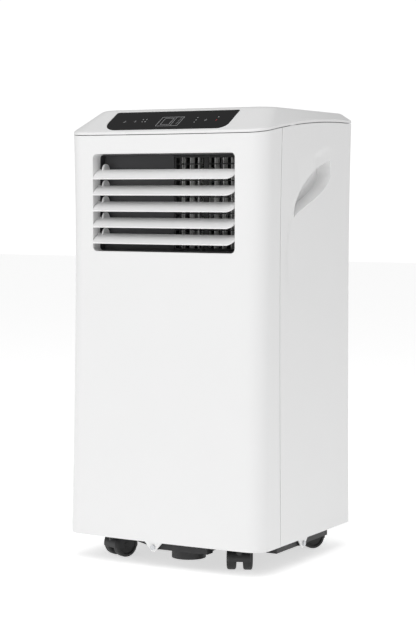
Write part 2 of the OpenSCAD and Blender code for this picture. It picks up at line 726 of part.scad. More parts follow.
tray_gap = 0.8;
pocket_r = 41;
pocket_top = 45;
socket_l = 24;
sump_r = 26.5;
sump_x = 28;
sump_y = front_y + 43.5;
sump_bottom = 15;
swivel_x = body_w / 2 - caster_side;
front_swivel_y = front_y + caster_front;
rear_swivel_y = rear_y - caster_rear;
swivels = [[-swivel_x, front_swivel_y], [swivel_x, front_swivel_y],
           [-swivel_x, rear_swivel_y], [swivel_x, rear_swivel_y]];
tray_inset = wall + tray_gap;
// Inner corner of the raised pocket over each caster, from the swivel.
pocket_in = [33, 18.5];
pocket_out = 110;
// Plan of a caster's pocket, open to the housing's corner; side and end are 1 or -1 towards that corner.
module pocket_plan(s, grow) {
    side = sign(s.x);
    end = s.y < 0 ? -1 : 1;
    translate([s.x, s.y]) {
        circle(r = pocket_r + grow);
        polygon([[-side * (pocket_in.x + grow), -end * (pocket_in.y + grow)],
                 [side * pocket_out, -end * (pocket_in.y + grow)], [side * pocket_out, end * pocket_out],
                 [-side * (pocket_in.x + grow), end * pocket_out]]);
    }
}
// The front left pocket runs on along a slant, up to the screw tab.
slant = [[-80, -104], [-66, -127], [-22, -154], [-22, -200], [-200, -200], [-200, -104]];
module pockets(grow, h) {
    translate([0, 0, tray_z - 1]) linear_extrude(h + 1) {
        for (s = swivels) pocket_plan(s, grow);
        offset(delta = grow) polygon(slant);
    }
}
module base_chassis() color(rubber_black) {
    floor_z = tray_z + tray_t;
    difference() {
        union() {
            difference() {
                plan_slab(tray_z, tray_inset + 4, tray_rim);
                translate([0, 0, tray_t]) plan_slab(tray_z, tray_inset + 4 + tray_t, tray_rim);
            }
            intersection() {
                plan_slab(tray_z, tray_inset + 4, pocket_top - tray_z + tray_t);
                pockets(tray_t, pocket_top - tray_z + tray_t);
            }
            for (s = swivels) translate([s.x, s.y, tray_z])
                cylinder(r = stem_r + 3.5, h = pocket_top - tray_z + socket_l);
            translate([sump_x, sump_y, sump_bottom]) cylinder(r = sump_r, h = floor_z - sump_bottom);
            translate([plug_x, 0, plug_z]) along_y(plug_r + spout_wall, rear_y - 12, rear_y + 3);
            front_tab();
            both_sides() side_tab();
        }
        pockets(0, pocket_top - tray_z);
        for (s = swivels) translate([s.x, s.y, 0])
            cylinder(r = stem_r + run_gap, h = pocket_top + socket_l + 1);
        translate([sump_x, sump_y, sump_bottom + tray_t]) cylinder(r = sump_r - 2, h = floor_z);
        translate([plug_x, 0, plug_z]) along_y(plug_r, rear_y - 20, rear_y + 4);
        translate([front_lug_x, 0, skirt_z - 8]) along_y(screw_r + run_gap, front_y - 5, front_y + 30);
        both_sides() translate([0, side_lug_y, skirt_z - 8])
            along_x(screw_r + run_gap, body_w / 2 - 30, body_w / 2 + 5);
    }
}
lug_inner = wall - lug_sink + lug_t;
// Thick spots of the tray's rim that the shells' screws bite into.
module front_tab() {
    y0 = front_at(skirt_z) + lug_inner + 0.2;
    block(front_lug_x - 8, front_lug_x + 8, y0, y0 + 10, tray_z, skirt_z);
}
module side_tab() {
    x1 = half_w(skirt_z) - wall + lug_sink - lug_t - 0.2;
    block(x1 - 10, x1, side_lug_y - 8, side_lug_y + 8, tray_z, skirt_z);
}

// A caster in its own frame: swivel axis on Z, wheels trailing towards +Y.
fork_half = wheel_gap / 2 - 0.4;
hood_r = wheel_r + 2.2;
hood_t = 2;
hood_half = wheel_gap / 2 + wheel_w - 1.5;
hood_top = pocket_top - 1.5;
module at_caster(k, heading) { translate([swivels[k].x, swivels[k].y, 0]) rotate([0, 0, heading]) children(); }
module at_axle() { translate([0, caster_trail, wheel_r]) children(); }
module caster_fork(k, heading) color(black) at_caster(k, heading) {
    difference() {
        union() {
            at_axle() along_x(hood_r, -hood_half, hood_half);
            translate([0, 0, wheel_r]) cylinder(r = 8, h = hood_top - wheel_r);
        }
        at_axle() both_sides() along_x(wheel_r + 1, fork_half, hood_half + 1);
        at_axle() block(-hood_half - 1, hood_half + 1, -60, 60, -60, -4);
        at_axle() along_x(axle_r + run_gap, -hood_half - 1, hood_half + 1);
    }
    translate([0, 0, hood_top - 1]) cylinder(r = stem_r, h = pocket_top + socket_l - hood_top - 1);
}
module caster_axle(k, heading) color(steel) at_caster(k, heading)
    at_axle() along_x(axle_r, -hood_half + 0.5, hood_half - 0.5);
module caster_wheels(k, heading) color(rubber_black) at_caster(k, heading) at_axle() both_sides()
    difference() {
        x0 = wheel_gap / 2;
        union() {
            along_x(wheel_r - 1.2, x0, x0 + wheel_w);
            along_x(wheel_r, x0 + 1.2, x0 + wheel_w - 1.2);
        }
        along_x(axle_r, x0 - 1, x0 + wheel_w - 2.5);
        along_x(wheel_r - 5, x0 + wheel_w - 2, x0 + wheel_w + 1);
    }
heading_fl = -24;
heading_fr = 25;
heading_rl = 20;
heading_rr = -35;
module caster_fl_fork() { caster_fork(0, heading_fl); }
module caster_fl_axle() { caster_axle(0, heading_fl); }
module caster_fl_wheels() { caster_wheels(0, heading_fl); }
module caster_fr_fork() { caster_fork(1, heading_fr); }
module caster_fr_axle() { caster_axle(1, heading_fr); }
module caster_fr_wheels() { caster_wheels(1, heading_fr); }
module caster_rl_fork() { caster_fork(2, heading_rl); }
module caster_rl_axle() { caster_axle(2, heading_rl); }
module caster_rl_wheels() { caster_wheels(2, heading_rl); }
module caster_rr_fork() { caster_fork(3, heading_rr); }
module caster_rr_axle() { caster_axle(3, heading_rr); }
module caster_rr_wheels() { caster_wheels(3, heading_rr); }

// ---- Refrigeration ----------------------------------------------------------

floor_z = tray_z + tray_t;
can_x = body_w / 2 - 82;
can_y = front_y + 158.5;
grommet_h = 14;
foot_r = 62;
can_z = floor_z + grommet_h;
module at_feet() {
    for (a = [60, 180, 300]) translate([can_x, can_y, 0]) rotate([0, 0, a]) translate([foot_r, 0, 0]) children();
}
module compressor() color([0.15, 0.15, 0.17]) {
    translate([can_x, can_y, can_z + 3 - eps]) rotate_extrude() polygon(concat([[0, 0]],
        [for (a = [0:10:90]) [compressor_r - 20 + 20 * cos(a - 90), 20 + 20 * sin(a - 90)]],
        [for (a = [0:10:90]) [compressor_r - 24 + 24 * cos(a), compressor_h - 24 + 24 * sin(a)]],
        [[0, compressor_h]]));
    difference() {
        union() {
            translate([can_x, can_y, can_z]) cylinder(r = compressor_r - 8, h = 3);
            for (a = [60, 180, 300]) translate([can_x, can_y, can_z]) rotate([0, 0, a])
                translate([0, -9, 0]) cube([foot_r + 8, 18, 3]);
        }
        at_feet() translate([0, 0, can_z - 1]) cylinder(r = 5, h = 5);
    }
    translate([can_x - 20, can_y + 12, can_z + compressor_h - 2]) cylinder(r = 10, h = 12);
}
module compressor_grommets() color(rubber_black) at_feet() {
    difference() {
        union() {
            translate([0, 0, floor_z]) cylinder(r = 8, h = grommet_h);
            translate([0, 0, floor_z]) cylinder(r = 4.9, h = grommet_h + 3.5);
            translate([0, 0, can_z + 3]) cylinder(r = 8, h = 2);
        }
        translate([0, 0, floor_z - 1]) cylinder(r = 2.5, h = grommet_h + 8);
    }
}
drum_r = 22;
drum_x = can_x - 60;
drum_y = can_y - 52;
drum_z = can_z + 30;
drum_h = 118;
module accumulator() color([0.15, 0.15, 0.17]) {
    translate([drum_x, drum_y, drum_z]) cylinder(r = drum_r, h = drum_h);
    translate([drum_x, drum_y, drum_z + drum_h - eps]) cylinder(r1 = drum_r, r2 = 9, h = 12);
    translate([drum_x, drum_y, drum_z - 12]) cylinder(r1 = 9, r2 = drum_r, h = 12 + eps);
    translate([drum_x, drum_y, can_z - 6]) cylinder(r = 5, h = drum_z - can_z);
    translate([drum_x, drum_y, can_z]) rotate([0, 0, atan2(can_y - drum_y, can_x - drum_x)])
        translate([0, 0, 8]) along_x(5, 0, norm([can_x - drum_x, can_y - drum_y]) - compressor_r + 10);
}

tube_r = 4;
tube_pitch = 24;
// Finned block with end plates and hairpin tubes, standing on z = 0.
module coil(h) {
    rows = floor(h / tube_pitch) - 1;
    block(-coil_w / 2, coil_w / 2, -coil_d / 2, coil_d / 2, 0, h);
    both_sides() block(coil_w / 2 - eps, coil_w / 2 + 1.5, -coil_d / 2 - 2, coil_d / 2 + 2, 0, h);
    for (y = [-coil_d / 4, coil_d / 4], i = [0:rows - 1])
        translate([0, y, tube_pitch * (i + 0.9)]) both_sides()
            translate([coil_w / 2 + 1, 0, tube_pitch / 4]) rotate([90, 0, 0])
                rotate([0, 0, -90]) rotate_extrude(angle = 180) translate([tube_pitch / 4, 0])
                    circle(r = 3, $fn = 24);
}
evap_y = front_y + 258;
cond_y = rear_y - 26;
cond_z = pocket_top + 12;
module evaporator_coil() color([0.72, 0.74, 0.76]) { translate([0, evap_y, deck_z + 4]) coil(evaporator_h); }
module condenser_coil() color([0.72, 0.74, 0.76]) { translate([0, cond_y, cond_z]) coil(condenser_h); }

// Centrifugal wheel on the Y axis: back disc, front ring, hub and forward-swept blades.
shaft_r = 4;
module blower_wheel(r, w) {
    difference() {
        union() {
            along_y(r, 0, 2);
            along_y(shaft_r + 5, 0, w * 0.5);
        }
        along_y(shaft_r + run_gap, -1, w);
    }
    difference() {
        along_y(r, w - 3, w);
        along_y(r - 11, w - 4, w + 1);
    }
    for (i = [0:blower_blades - 1]) rotate([0, i * 360 / blower_blades, 0])
        translate([r - 10, 1, 0]) rotate([0, 35, 0]) cube([10.5, w - 2, 1.4]);
}
up_x = -50;
up_z = outlet_mid;
scroll_back = front_y + 222;
low_x = -45;
low_z = floor_z + 134;
low_front = rear_y - 112;
upper_gap = 10;
module upper_wheel() color([0.85, 0.85, 0.84]) {
    translate([up_x, scroll_back - scroll_t - upper_gap - upper_wheel_w, up_z])
        blower_wheel(upper_wheel_r, upper_wheel_w);
}
module lower_wheel() color([0.16, 0.16, 0.17]) {
    translate([low_x, hot_rear - scroll_t - 6 - lower_wheel_w, low_z])
        blower_wheel(lower_wheel_r, lower_wheel_w);
}
module fan_motor(r, l, y1, reach) {
    along_y(r, y1 - l, y1 - 2);
    along_y(r * 0.55, y1 - 2.1, y1);
    along_y(shaft_r, y1 - 1, y1 + reach);
}
upper_motor_r = 34;
lower_motor_r = 43;
module upper_motor() color(steel) {
    translate([up_x, 0, up_z]) fan_motor(upper_motor_r, 27, scroll_front, scroll_back - scroll_front - upper_gap - 35);
}
module lower_motor() color(steel) {
    translate([low_x, 0, low_z]) fan_motor(lower_motor_r, 40, low_front, 45);
}

// Volute: a spiral that opens from r0 to r1 over three quarters of a turn.
scroll_t = 2.2;
function spiral(r0, r1, a0) = [for (i = [0:27]) let (a = a0 + i * 10, r = r0 + (r1 - r0) * i / 27)
    [r * cos(a), r * sin(a)]];
module spiral_prism(r0, r1, a0, y0, y1) {
    translate([0, y1, 0]) rotate([90, 0, 0]) linear_extrude(y1 - y0)
        polygon(concat([[0, 0]], spiral(r0, r1, a0)));
}
up_r0 = upper_wheel_r + 7;
up_r1 = upper_wheel_r + 26;
module upper_volume(t, y0, y1) {
    translate([up_x, 0, up_z]) spiral_prism(up_r0 + t, up_r1 + t, 45, y0, y1);
    block(up_x, throat_x + throat_w + t, y0, y1, outlet_mid - duct_h / 2 - t, outlet_mid + duct_h / 2 + t);
}
module upper_scroll() color(dark_grey) {
    difference() {
        upper_volume(scroll_t, scroll_front, scroll_back);
        upper_volume(0, scroll_front + scroll_t, scroll_back - scroll_t);
        block(throat_x, throat_x + throat_w, scroll_front - 1, scroll_front + scroll_t + 1,
            outlet_mid - duct_h / 2, outlet_mid + duct_h / 2);
        translate([up_x, 0, up_z]) {
            along_y(upper_wheel_r - 10, scroll_back - scroll_t - 1, scroll_back + 1);
            along_y(shaft_r + 3, scroll_front - 1, scroll_front + scroll_t + 1);
        }
    }
}
low_r0 = lower_wheel_r + 7;
low_r1 = lower_wheel_r + 27;
chamber_half = collar_r + 6;
// The volute swings half a turn below the wheel, then rises as a chamber behind the hose collar.
function lower_outline(t) = concat(
    [for (a = [180:10:360]) let (r = mix(low_r0, low_r1, a / 180 - 1) + t) [low_x + r * cos(a), low_z + r * sin(a)]],
    [for (p = [[1, -30], [1, chamber_half + t], [-1, chamber_half + t], [-1, -30]])
        [collar_x + p.x * (chamber_half + t), collar_z + p.y]]);
module lower_volume(t, y0, y1) {
    translate([0, y1, 0]) rotate([90, 0, 0]) linear_extrude(y1 - y0) polygon(lower_outline(t));
}
module lower_scroll() color(black) {
    difference() {
        lower_volume(scroll_t, low_front, hot_rear);
        lower_volume(0, low_front + scroll_t, hot_rear - scroll_t);
        translate([low_x, 0, low_z]) {
            along_y(lower_wheel_r - 14, hot_rear - scroll_t - 1, hot_rear + 1);
            along_y(shaft_r + 3, low_front - 1, low_front + scroll_t + 1);
        }
        translate([collar_x, 0, collar_z]) along_y(collar_r, hot_rear - scroll_t - 1, hot_rear + 1);
    }
}

pan_t = 2.5;
pan_rim = 22;
pipe_x = body_w / 2 - 33;
pipe_y = front_y + 215;
module drain_pan() color([0.88, 0.88, 0.87]) {
    difference() {
        union() {
            difference() {
                plan_slab(deck_z, wall + tray_gap, pan_rim);
                translate([0, 0, pan_t]) plan_slab(deck_z, wall + tray_gap + pan_t, pan_rim);
            }
            translate([drain_x, 0, drain_z]) along_y(drain_r + spout_wall, rear_y - 12, rear_y + 3);
            translate([pipe_x, pipe_y, deck_z]) cylinder(r = 16, h = pan_rim);
        }
        translate([drain_x, 0, drain_z]) along_y(drain_r, rear_y - 20, rear_y + 4);
        translate([pipe_x, pipe_y, deck_z - 1]) cylinder(r = 13, h = pan_rim + 2);
    }
}
module pipe(r, path) {
    for (i = [0:len(path) - 2]) hull() {
        translate(path[i]) sphere(r = r, $fn = 12);
        translate(path[i + 1]) sphere(r = r, $fn = 12);
    }
}
module refrigerant_pipes() color(copper) {
    coil_end = coil_w / 2 + 14;
    drum_top = drum_z + drum_h + 11;
    rise = can_z + compressor_h + 60;
    pipe(4, [[drum_x, drum_y, drum_top + 4], [drum_x, drum_y, rise], [pipe_x + 6, drum_y, rise],
             [pipe_x + 6, pipe_y, rise], [pipe_x + 6, pipe_y, deck_z + 60],
             [coil_end, evap_y, deck_z + 60]]);
    pipe(3, [[can_x + 10, can_y, can_z + compressor_h + 5.5], [can_x + 10, can_y, can_z + compressor_h + 22],
             [coil_end + 3, can_y, can_z + compressor_h + 22], [coil_end + 3, cond_y, can_z + compressor_h + 22],
             [coil_end + 3, cond_y, cond_z + condenser_h - 20]]);
    pipe(1.5, [[coil_end, cond_y - 9, cond_z + 40], [pipe_x - 6, pipe_y, cond_z + 60],
               [pipe_x - 6, pipe_y, deck_z + 40], [coil_end - 8, evap_y - 15, deck_z + 40]]);
}
module control_box() color(steel) {
    x0 = body_w / 2 - 115;
    y0 = front_y + 24;
    difference() {
        block(x0, x0 + 88, y0, y0 + 48, deck_z - 100, deck_z);
        block(x0 + 1.5, x0 + 86.5, y0 + 1.5, y0 + 46.5, deck_z - 98.5, deck_z + 1);
    }
}
module run_capacitor() color([0.75, 0.76, 0.78]) {
    translate([body_w / 2 - 150, front_y + 48, deck_z - 84]) {
        cylinder(r = 20, h = 84);
        for (x = [-6, 6]) translate([x - 0.4, -3, -8]) cube([0.8, 6, 8 + eps]);
    }
}
// Pan-head screw along -Y, its head's underside at y = 0.
module screw(l) {
    along_y(screw_head_r, -2.4, 0);
    along_y(screw_r, -0.1, l);
}
module housing_screws() color(steel) {
    translate([front_lug_x, front_at(skirt_z) + wall - lug_sink, skirt_z - 8]) screw(13);
    both_sides() translate([half_w(skirt_z) - wall + lug_sink, side_lug_y, skirt_z - 8])
        rotate([0, 0, 90]) screw(13);
}

front_shell();
rear_shell();
top_lid();
control_overlay();
control_board();
outlet_bezel();
louvre_blade_1();
louvre_blade_2();
louvre_blade_3();
louvre_blade_4();
louvre_blade_5();
louvre_link();
louvre_motor();
outlet_duct();
outlet_guard();
vane_1();
vane_2();
vane_3();
vane_4();
vane_5();
vane_6();
vane_7();
vane_8();
vane_link();
filter_frame();
filter_mesh();
lower_grille();
exhaust_collar();
drain_cap();
drain_plug();
cord_gland();
base_chassis();
caster_fl_fork();
caster_fl_axle();
caster_fl_wheels();
caster_fr_fork();
caster_fr_axle();
caster_fr_wheels();
caster_rl_fork();
caster_rl_axle();
caster_rl_wheels();
caster_rr_fork();
caster_rr_axle();
caster_rr_wheels();
compressor();
accumulator();
compressor_grommets();
evaporator_coil();
condenser_coil();
upper_wheel();
upper_motor();
upper_scroll();
lower_wheel();
lower_motor();
lower_scroll();
drain_pan();
refrigerant_pipes();
control_box();
run_capacitor();
housing_screws();
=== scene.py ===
"""Visual model of a portable air conditioner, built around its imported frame.

Lengths are in millimetres along the frame's own axes: the front faces -Y and the floor is z = 0.
A finished mesh is scaled to metres, with its object at the origin.
"""

import json
import logging
import math
from dataclasses import dataclass
from enum import Enum
from typing import Callable, Iterable, Mapping, Sequence, Union

import bmesh
import bpy
from mathutils import Matrix, Vector


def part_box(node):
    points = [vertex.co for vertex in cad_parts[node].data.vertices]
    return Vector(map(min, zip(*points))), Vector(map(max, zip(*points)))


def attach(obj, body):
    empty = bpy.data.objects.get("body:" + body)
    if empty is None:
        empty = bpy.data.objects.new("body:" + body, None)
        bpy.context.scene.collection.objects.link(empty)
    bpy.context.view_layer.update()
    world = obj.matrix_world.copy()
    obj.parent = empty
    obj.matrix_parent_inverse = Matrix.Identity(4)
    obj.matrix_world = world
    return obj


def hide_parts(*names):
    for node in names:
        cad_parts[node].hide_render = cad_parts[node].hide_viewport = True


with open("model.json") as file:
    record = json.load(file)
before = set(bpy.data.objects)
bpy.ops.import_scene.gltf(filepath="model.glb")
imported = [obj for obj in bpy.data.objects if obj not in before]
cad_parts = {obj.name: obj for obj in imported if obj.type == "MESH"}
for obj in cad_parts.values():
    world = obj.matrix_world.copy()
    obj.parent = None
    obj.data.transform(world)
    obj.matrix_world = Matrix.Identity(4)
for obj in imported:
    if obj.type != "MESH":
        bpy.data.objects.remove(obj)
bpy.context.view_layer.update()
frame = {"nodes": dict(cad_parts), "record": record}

MM = 0.001
HOUSING = "housing"
BEZEL_WALL = 2.5
log = logging.getLogger("air_conditioner")

Colour = tuple[float, float, float]
Term = Union["Value", bpy.types.NodeSocket, float, tuple]


def mm_box(node: str) -> tuple[Vector, Vector]:
    """Measures a node of the frame.

    Args:
        node: Name of the CAD node.

    Returns:
        Its lowest and highest corners, in millimetres.
    """
    low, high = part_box(node)
    return low / MM, high / MM


def mix(first: float, second: float, share: float) -> float:
    """Goes the given share of the way from first to second."""
    return first + (second - first) * share


def steps(first: float, last: float, count: int) -> list[float]:
    """Spreads count + 1 even values from first to last, both included."""
    return [mix(first, last, i / count) for i in range(count + 1)]


def soft_step(value: float) -> float:
    """Eases from 0 to 1 as value goes from 0 to 1, and holds outside that."""
    held = min(1.0, max(0.0, value))
    return held * held * (3 - 2 * held)


# ---- Shader maths and finishes ----------------------------------------------


def _operator(operation: str, reflected: bool = False) -> Callable[["Value", Term], "Value"]:
    """Makes the method behind one operator.

    Args:
        operation: The Math node's operation.
        reflected: Whether the value stands on the right of the operator.

    Returns:
        The method.
    """

    def apply(self: "Value", other: Term) -> "Value":
        """Adds one Math node over both terms."""
        terms = (other, self) if reflected else (self, other)
        return self.paint.value("ShaderNodeMath", {"operation": operation}, dict(enumerate(terms)))

    return apply


class Value:
    """A value that a shader works out, with the usual arithmetic."""

    def __init__(self, paint: "Paint", socket: bpy.types.NodeSocket) -> None:
        """Wraps one output socket of a paint's tree."""
        self.paint = paint
        self.socket = socket

    __add__, __radd__ = _operator("ADD"), _operator("ADD", True)
    __sub__, __rsub__ = _operator("SUBTRACT"), _operator("SUBTRACT", True)
    __mul__, __rmul__ = _operator("MULTIPLY"), _operator("MULTIPLY", True)
    __pow__ = _operator("POWER")


class Paint:
    """One material's node tree, from the object's own coordinates to a Principled shader."""

    def __init__(self, name: str) -> None:
        """Starts a material with only its shader, its output and the object's coordinates."""
        self.material = bpy.data.materials.new(name)
        self.material.use_nodes = True
        self.tree = self.material.node_tree
        self.tree.nodes.clear()
        self.shader = self.node("ShaderNodeBsdfPrincipled")
        self.node("ShaderNodeOutputMaterial", {}, {"Surface": self.shader.outputs[0]})
        self.place = self.value("ShaderNodeTexCoord", output="Object")

    def node(self, kind: str, settings: Mapping = {}, inputs: Mapping = {}) -> bpy.types.Node:
        """Adds a node.

        Args:
            kind: Type of the node.
            settings: Its own settings, where "stops" stands for a ramp's list of place and colour.
            inputs: Numbers or links for its sockets, by name or index.

        Returns:
            The new node.
        """
        made = self.tree.nodes.new(kind)
        for key, setting in settings.items():
            if key == "stops":
                for element, (place, colour) in zip(made.color_ramp.elements, setting):
                    element.position = place
                    element.color = (*colour, 1.0)
            else:
                setattr(made, key, setting)
        for key, term in inputs.items():
            if isinstance(term, (Value, bpy.types.NodeSocket)):
                self.tree.links.new(getattr(term, "socket", term), made.inputs[key])
            else:
                made.inputs[key].default_value = term
        return made

    def value(self, kind: str, settings: Mapping = {}, inputs: Mapping = {}, output: Union[int, str] = 0) -> Value:
        """Adds a node as node() does, and wraps one of its outputs."""
        return Value(self, self.node(kind, settings, inputs).outputs[output])

    def stretched(self, scale: Sequence[float]) -> Value:
        """Gives the object's coordinates, scaled along each axis."""
        return self.value("ShaderNodeMapping", {}, {"Vector": self.place, "Scale": tuple(scale)})

    def noise(self, size: float, stretch: Sequence[float] = (1, 1, 1), detail: float = 2.0) -> Value:
        """Makes noise with patches of about the given size in millimetres."""
        scale = [share / (size * MM) for share in stretch]
        return self.value(
            "ShaderNodeTexNoise", {}, {"Vector": self.stretched(scale), "Scale": 1.0, "Detail": detail}
        )

    def bands(self, pitch: float, axis: str) -> Value:
        """Makes straight bands across an axis, with the given pitch in millimetres."""
        return self.value(
            "ShaderNodeTexWave",
            {"wave_type": "BANDS", "bands_direction": axis},
            {"Vector": self.place, "Scale": math.pi / 10 / (pitch * MM), "Distortion": 0.0},
        )

    def blend(self, share: Term, first: Colour, second: Colour) -> Value:
        """Mixes two colours by a share from 0 to 1."""
        return self.value(
            "ShaderNodeMix",
            {"data_type": "RGBA"},
            {0: share, 6: (*first, 1.0), 7: (*second, 1.0)},
            output=2,
        )

    def finish(self, inputs: Mapping, height: Term = None, depth: float = 0.0) -> bpy.types.Material:
        """Feeds the shader.

        Args:
            inputs: Numbers or links for the shader's sockets.
            height: Relief of the surface, from 0 to 1, if it has any.
            depth: Depth of that relief, in millimetres.

        Returns:
            The material.
        """
        links = dict(inputs)
        if height is not None:
            links["Normal"] = self.value(
                "ShaderNodeBump", {}, {"Height": height, "Distance": depth * MM, "Strength": 1.0}
            )
        for key, term in links.items():
            if isinstance(term, Value):
                self.tree.links.new(term.socket, self.shader.inputs[key])
            else:
                self.shader.inputs[key].default_value = term
        return self.material


def shade(colour: Colour, factor: float) -> Colour:
    """Makes a colour lighter or darker by a factor."""
    return tuple(min(1.0, channel * factor) for channel in colour)


@dataclass(frozen=True)
class Moulded:
    """Moulded plastic, rubber or sprayed paint: fine grain, faint mottling and an uneven gloss."""

    name: str
    colour: Colour
    roughness: float
    grain: float = 0.7
    grain_depth: float = 0.006
    mottle: float = 0.02
    coat: float = 0.0
    specular: float = 0.5

    def material(self) -> bpy.types.Material:
        """Builds the material."""
        paint = Paint(self.name)
        patch = paint.noise(90.0)
        speck = paint.noise(self.grain, detail=3.0)
        tone = paint.blend(patch, shade(self.colour, 1 - self.mottle), shade(self.colour, 1 + self.mottle))
        gloss = patch * 0.06 + speck * 0.05 + (self.roughness - 0.055)
        return paint.finish(
            {
                "Base Color": tone, "Roughness": gloss, "Coat Weight": self.coat, "Coat Roughness": 0.06,
                "Specular IOR Level": self.specular,
            },
            speck,
            self.grain_depth,
        )


@dataclass(frozen=True)
class Metal:
    """Bare or plated metal with a rolled grain along one axis and faint tarnish."""

    name: str
    colour: Colour
    roughness: float
    grain_along: Sequence[float] = (1, 1, 0.08)
    tarnish: float = 0.15

    def material(self) -> bpy.types.Material:
        """Builds the material."""
        paint = Paint(self.name)
        line = paint.noise(1.2, self.grain_along, detail=4.0)
        patch = paint.noise(24.0)
        tone = paint.blend(patch, shade(self.colour, 1 - self.tarnish), self.colour)
        return paint.finish(
            {"Base Color": tone, "Metallic": 1.0, "Roughness": line * 0.16 + (self.roughness - 0.08)},
            line,
            0.01,
        )


@dataclass(frozen=True)
class Finned:
    """Thin upright fins of a heat exchanger, seen edge on, with painted shade in the gaps between them."""

    name: str
    colour: Colour
    pitch: float = 1.6

    def material(self) -> bpy.types.Material:
        """Builds the material."""
        paint = Paint(self.name)
        fin_and_gap_shade = paint.bands(self.pitch, "X")
        dust = paint.noise(12.0)
        # Painted shade: the gaps between the fins take a near-black copy of the fin colour.
        tone = paint.blend(fin_and_gap_shade * (0.8 + dust * 0.2), shade(self.colour, 0.16), self.colour)
        return paint.finish({"Base Color": tone, "Metallic": 0.85, "Roughness": dust * 0.2 + 0.3}, fin_and_gap_shade, 0.6)


@dataclass(frozen=True)
class Woven:
    """Square-woven filter net, with painted shade in its holes."""

    name: str
    thread: Colour
    # Colour of the holes: painted shade of the inside seen through the net.
    gap: Colour
    pitch: float = 1.9

    def material(self) -> bpy.types.Material:
        """Builds the material."""
        paint = Paint(self.name)
        across = paint.bands(self.pitch, "X")
        upright = paint.bands(self.pitch, "Z")
        hole = across * upright
        lint = paint.noise(15.0)
        # Painted shade: the holes between the threads take the near-black gap colour.
        tone = paint.blend(hole ** 0.6, self.thread, self.gap)
        return paint.finish({"Base Color": tone, "Roughness": lint * 0.2 + 0.6}, 1 - hole, 0.4)


@dataclass(frozen=True)
class CircuitBoard:
    """Solder mask with faint copper tracks under it."""

    name: str
    mask: Colour
    track: Colour

    def material(self) -> bpy.types.Material:
        """Builds the material."""
        paint = Paint(self.name)
        track = paint.value(
            "ShaderNodeTexBrick",
            {"offset": 0.5},
            {"Vector": paint.place, "Scale": 90.0, "Mortar Size": 0.03, "Color1": (0, 0, 0, 1),
             "Color2": (0, 0, 0, 1), "Mortar": (1, 1, 1, 1)},
            output="Fac",
        )
        speck = paint.noise(2.0)
        return paint.finish(
            {"Base Color": paint.blend(track, self.mask, self.track), "Roughness": speck * 0.1 + 0.3}, track, 0.05
        )


Finish = Union[Moulded, Metal, Finned, Woven, CircuitBoard]

SHELL_WHITE = Moulded("satin_white_plastic", (0.87, 0.87, 0.87), 0.34, mottle=0.008)
PANEL_BLACK = Moulded("gloss_black_overlay", (0.004, 0.004, 0.0045), 0.09, 0.5, 0.0005, 0.1, specular=0.12)
PRINT_GREY = Moulded("printed_grey_ink", (0.36, 0.36, 0.37), 0.5, 0.3, 0.002)
PRINT_RED = Moulded("printed_red_ink", (0.42, 0.02, 0.025), 0.5, 0.3, 0.002)
DUCT_GREY = Moulded("dark_grey_duct", (0.050, 0.050, 0.053), 0.42, 0.9, 0.01, 0.06)
VANE_GREY = Moulded("light_grey_vane", (0.74, 0.74, 0.73), 0.4)
GUARD_BLACK = Moulded("black_coated_wire", (0.010, 0.010, 0.011), 0.4, 0.5, 0.01, 0.1)
BASE_BLACK = Moulded("black_coated_tray", (0.014, 0.014, 0.015), 0.5, 1.4, 0.03, 0.12)
CASTER_BLACK = Moulded("black_caster_plastic", (0.013, 0.013, 0.014), 0.38, 0.8, 0.012, 0.1)
TREAD_BLACK = Moulded("black_wheel_tread", (0.016, 0.016, 0.016), 0.55, 1.1, 0.03, 0.2)
CAN_BLACK = Moulded("black_painted_steel_can", (0.02, 0.02, 0.022), 0.3, 2.2, 0.02, 0.15, 0.3)
RUBBER = Moulded("black_rubber", (0.02, 0.02, 0.02), 0.75, 1.0, 0.02, 0.15)
PAN_WHITE = Moulded("white_drain_pan", (0.68, 0.68, 0.67), 0.55, 2.6, 0.05, 0.03)
BLOWER_WHITE = Moulded("white_blower_plastic", (0.66, 0.66, 0.65), 0.45)
ZINC = Metal("zinc_plated_steel", (0.62, 0.63, 0.65), 0.38)
COPPER = Metal("copper_pipe", (0.72, 0.36, 0.21), 0.3, (1, 1, 1), 0.35)
CAN_ALUMINIUM = Metal("capacitor_aluminium", (0.80, 0.81, 0.83), 0.26, (1, 1, 0.1), 0.08)
FINS = Finned("aluminium_fins", (0.74, 0.76, 0.78))
# The net's second colour is painted shade in its holes.
NET = Woven("grey_filter_net", (0.10, 0.12, 0.15), (0.012, 0.014, 0.018))
BOARD = CircuitBoard("green_circuit_board", (0.02, 0.10, 0.05), (0.05, 0.20, 0.10))

SLOT_FINISHES = {
    "shell_white": SHELL_WHITE, "overlay_black": PANEL_BLACK, "board_green": BOARD, "duct_grey": DUCT_GREY,
    "guard_black": GUARD_BLACK, "vane_grey": VANE_GREY, "mesh_grey": NET, "base_black": BASE_BLACK,
    "caster_black": CASTER_BLACK, "wheel_black": TREAD_BLACK, "steel": ZINC, "can_black": CAN_BLACK,
    "rubber": RUBBER, "coil_alu": FINS, "copper": COPPER, "capacitor_alu": CAN_ALUMINIUM,
    "pan_white": PAN_WHITE, "wheel_white": BLOWER_WHITE,
}


class Wardrobe:
    """Makes each finish's material once and dresses objects in it."""

    def __init__(self) -> None:
        """Starts with nothing made."""
        self._made: dict[str, bpy.types.Material] = {}

    def material(self, finish: Finish) -> bpy.types.Material:
        """Gives a finish's material, made on first use."""
        if finish.name not in self._made:
            self._made[finish.name] = finish.material()
        return self._made[finish.name]

    def dress(self, piece: bpy.types.Object, finish: Finish) -> None:
        """Puts one finish on every slot of an object."""
        material = self.material(finish)
        if not piece.data.materials:
            piece.data.materials.append(material)
        for index in range(len(piece.data.materials)):
            piece.data.materials[index] = material


WARDROBE = Wardrobe()


# ---- Mesh helpers -----------------------------------------------------------


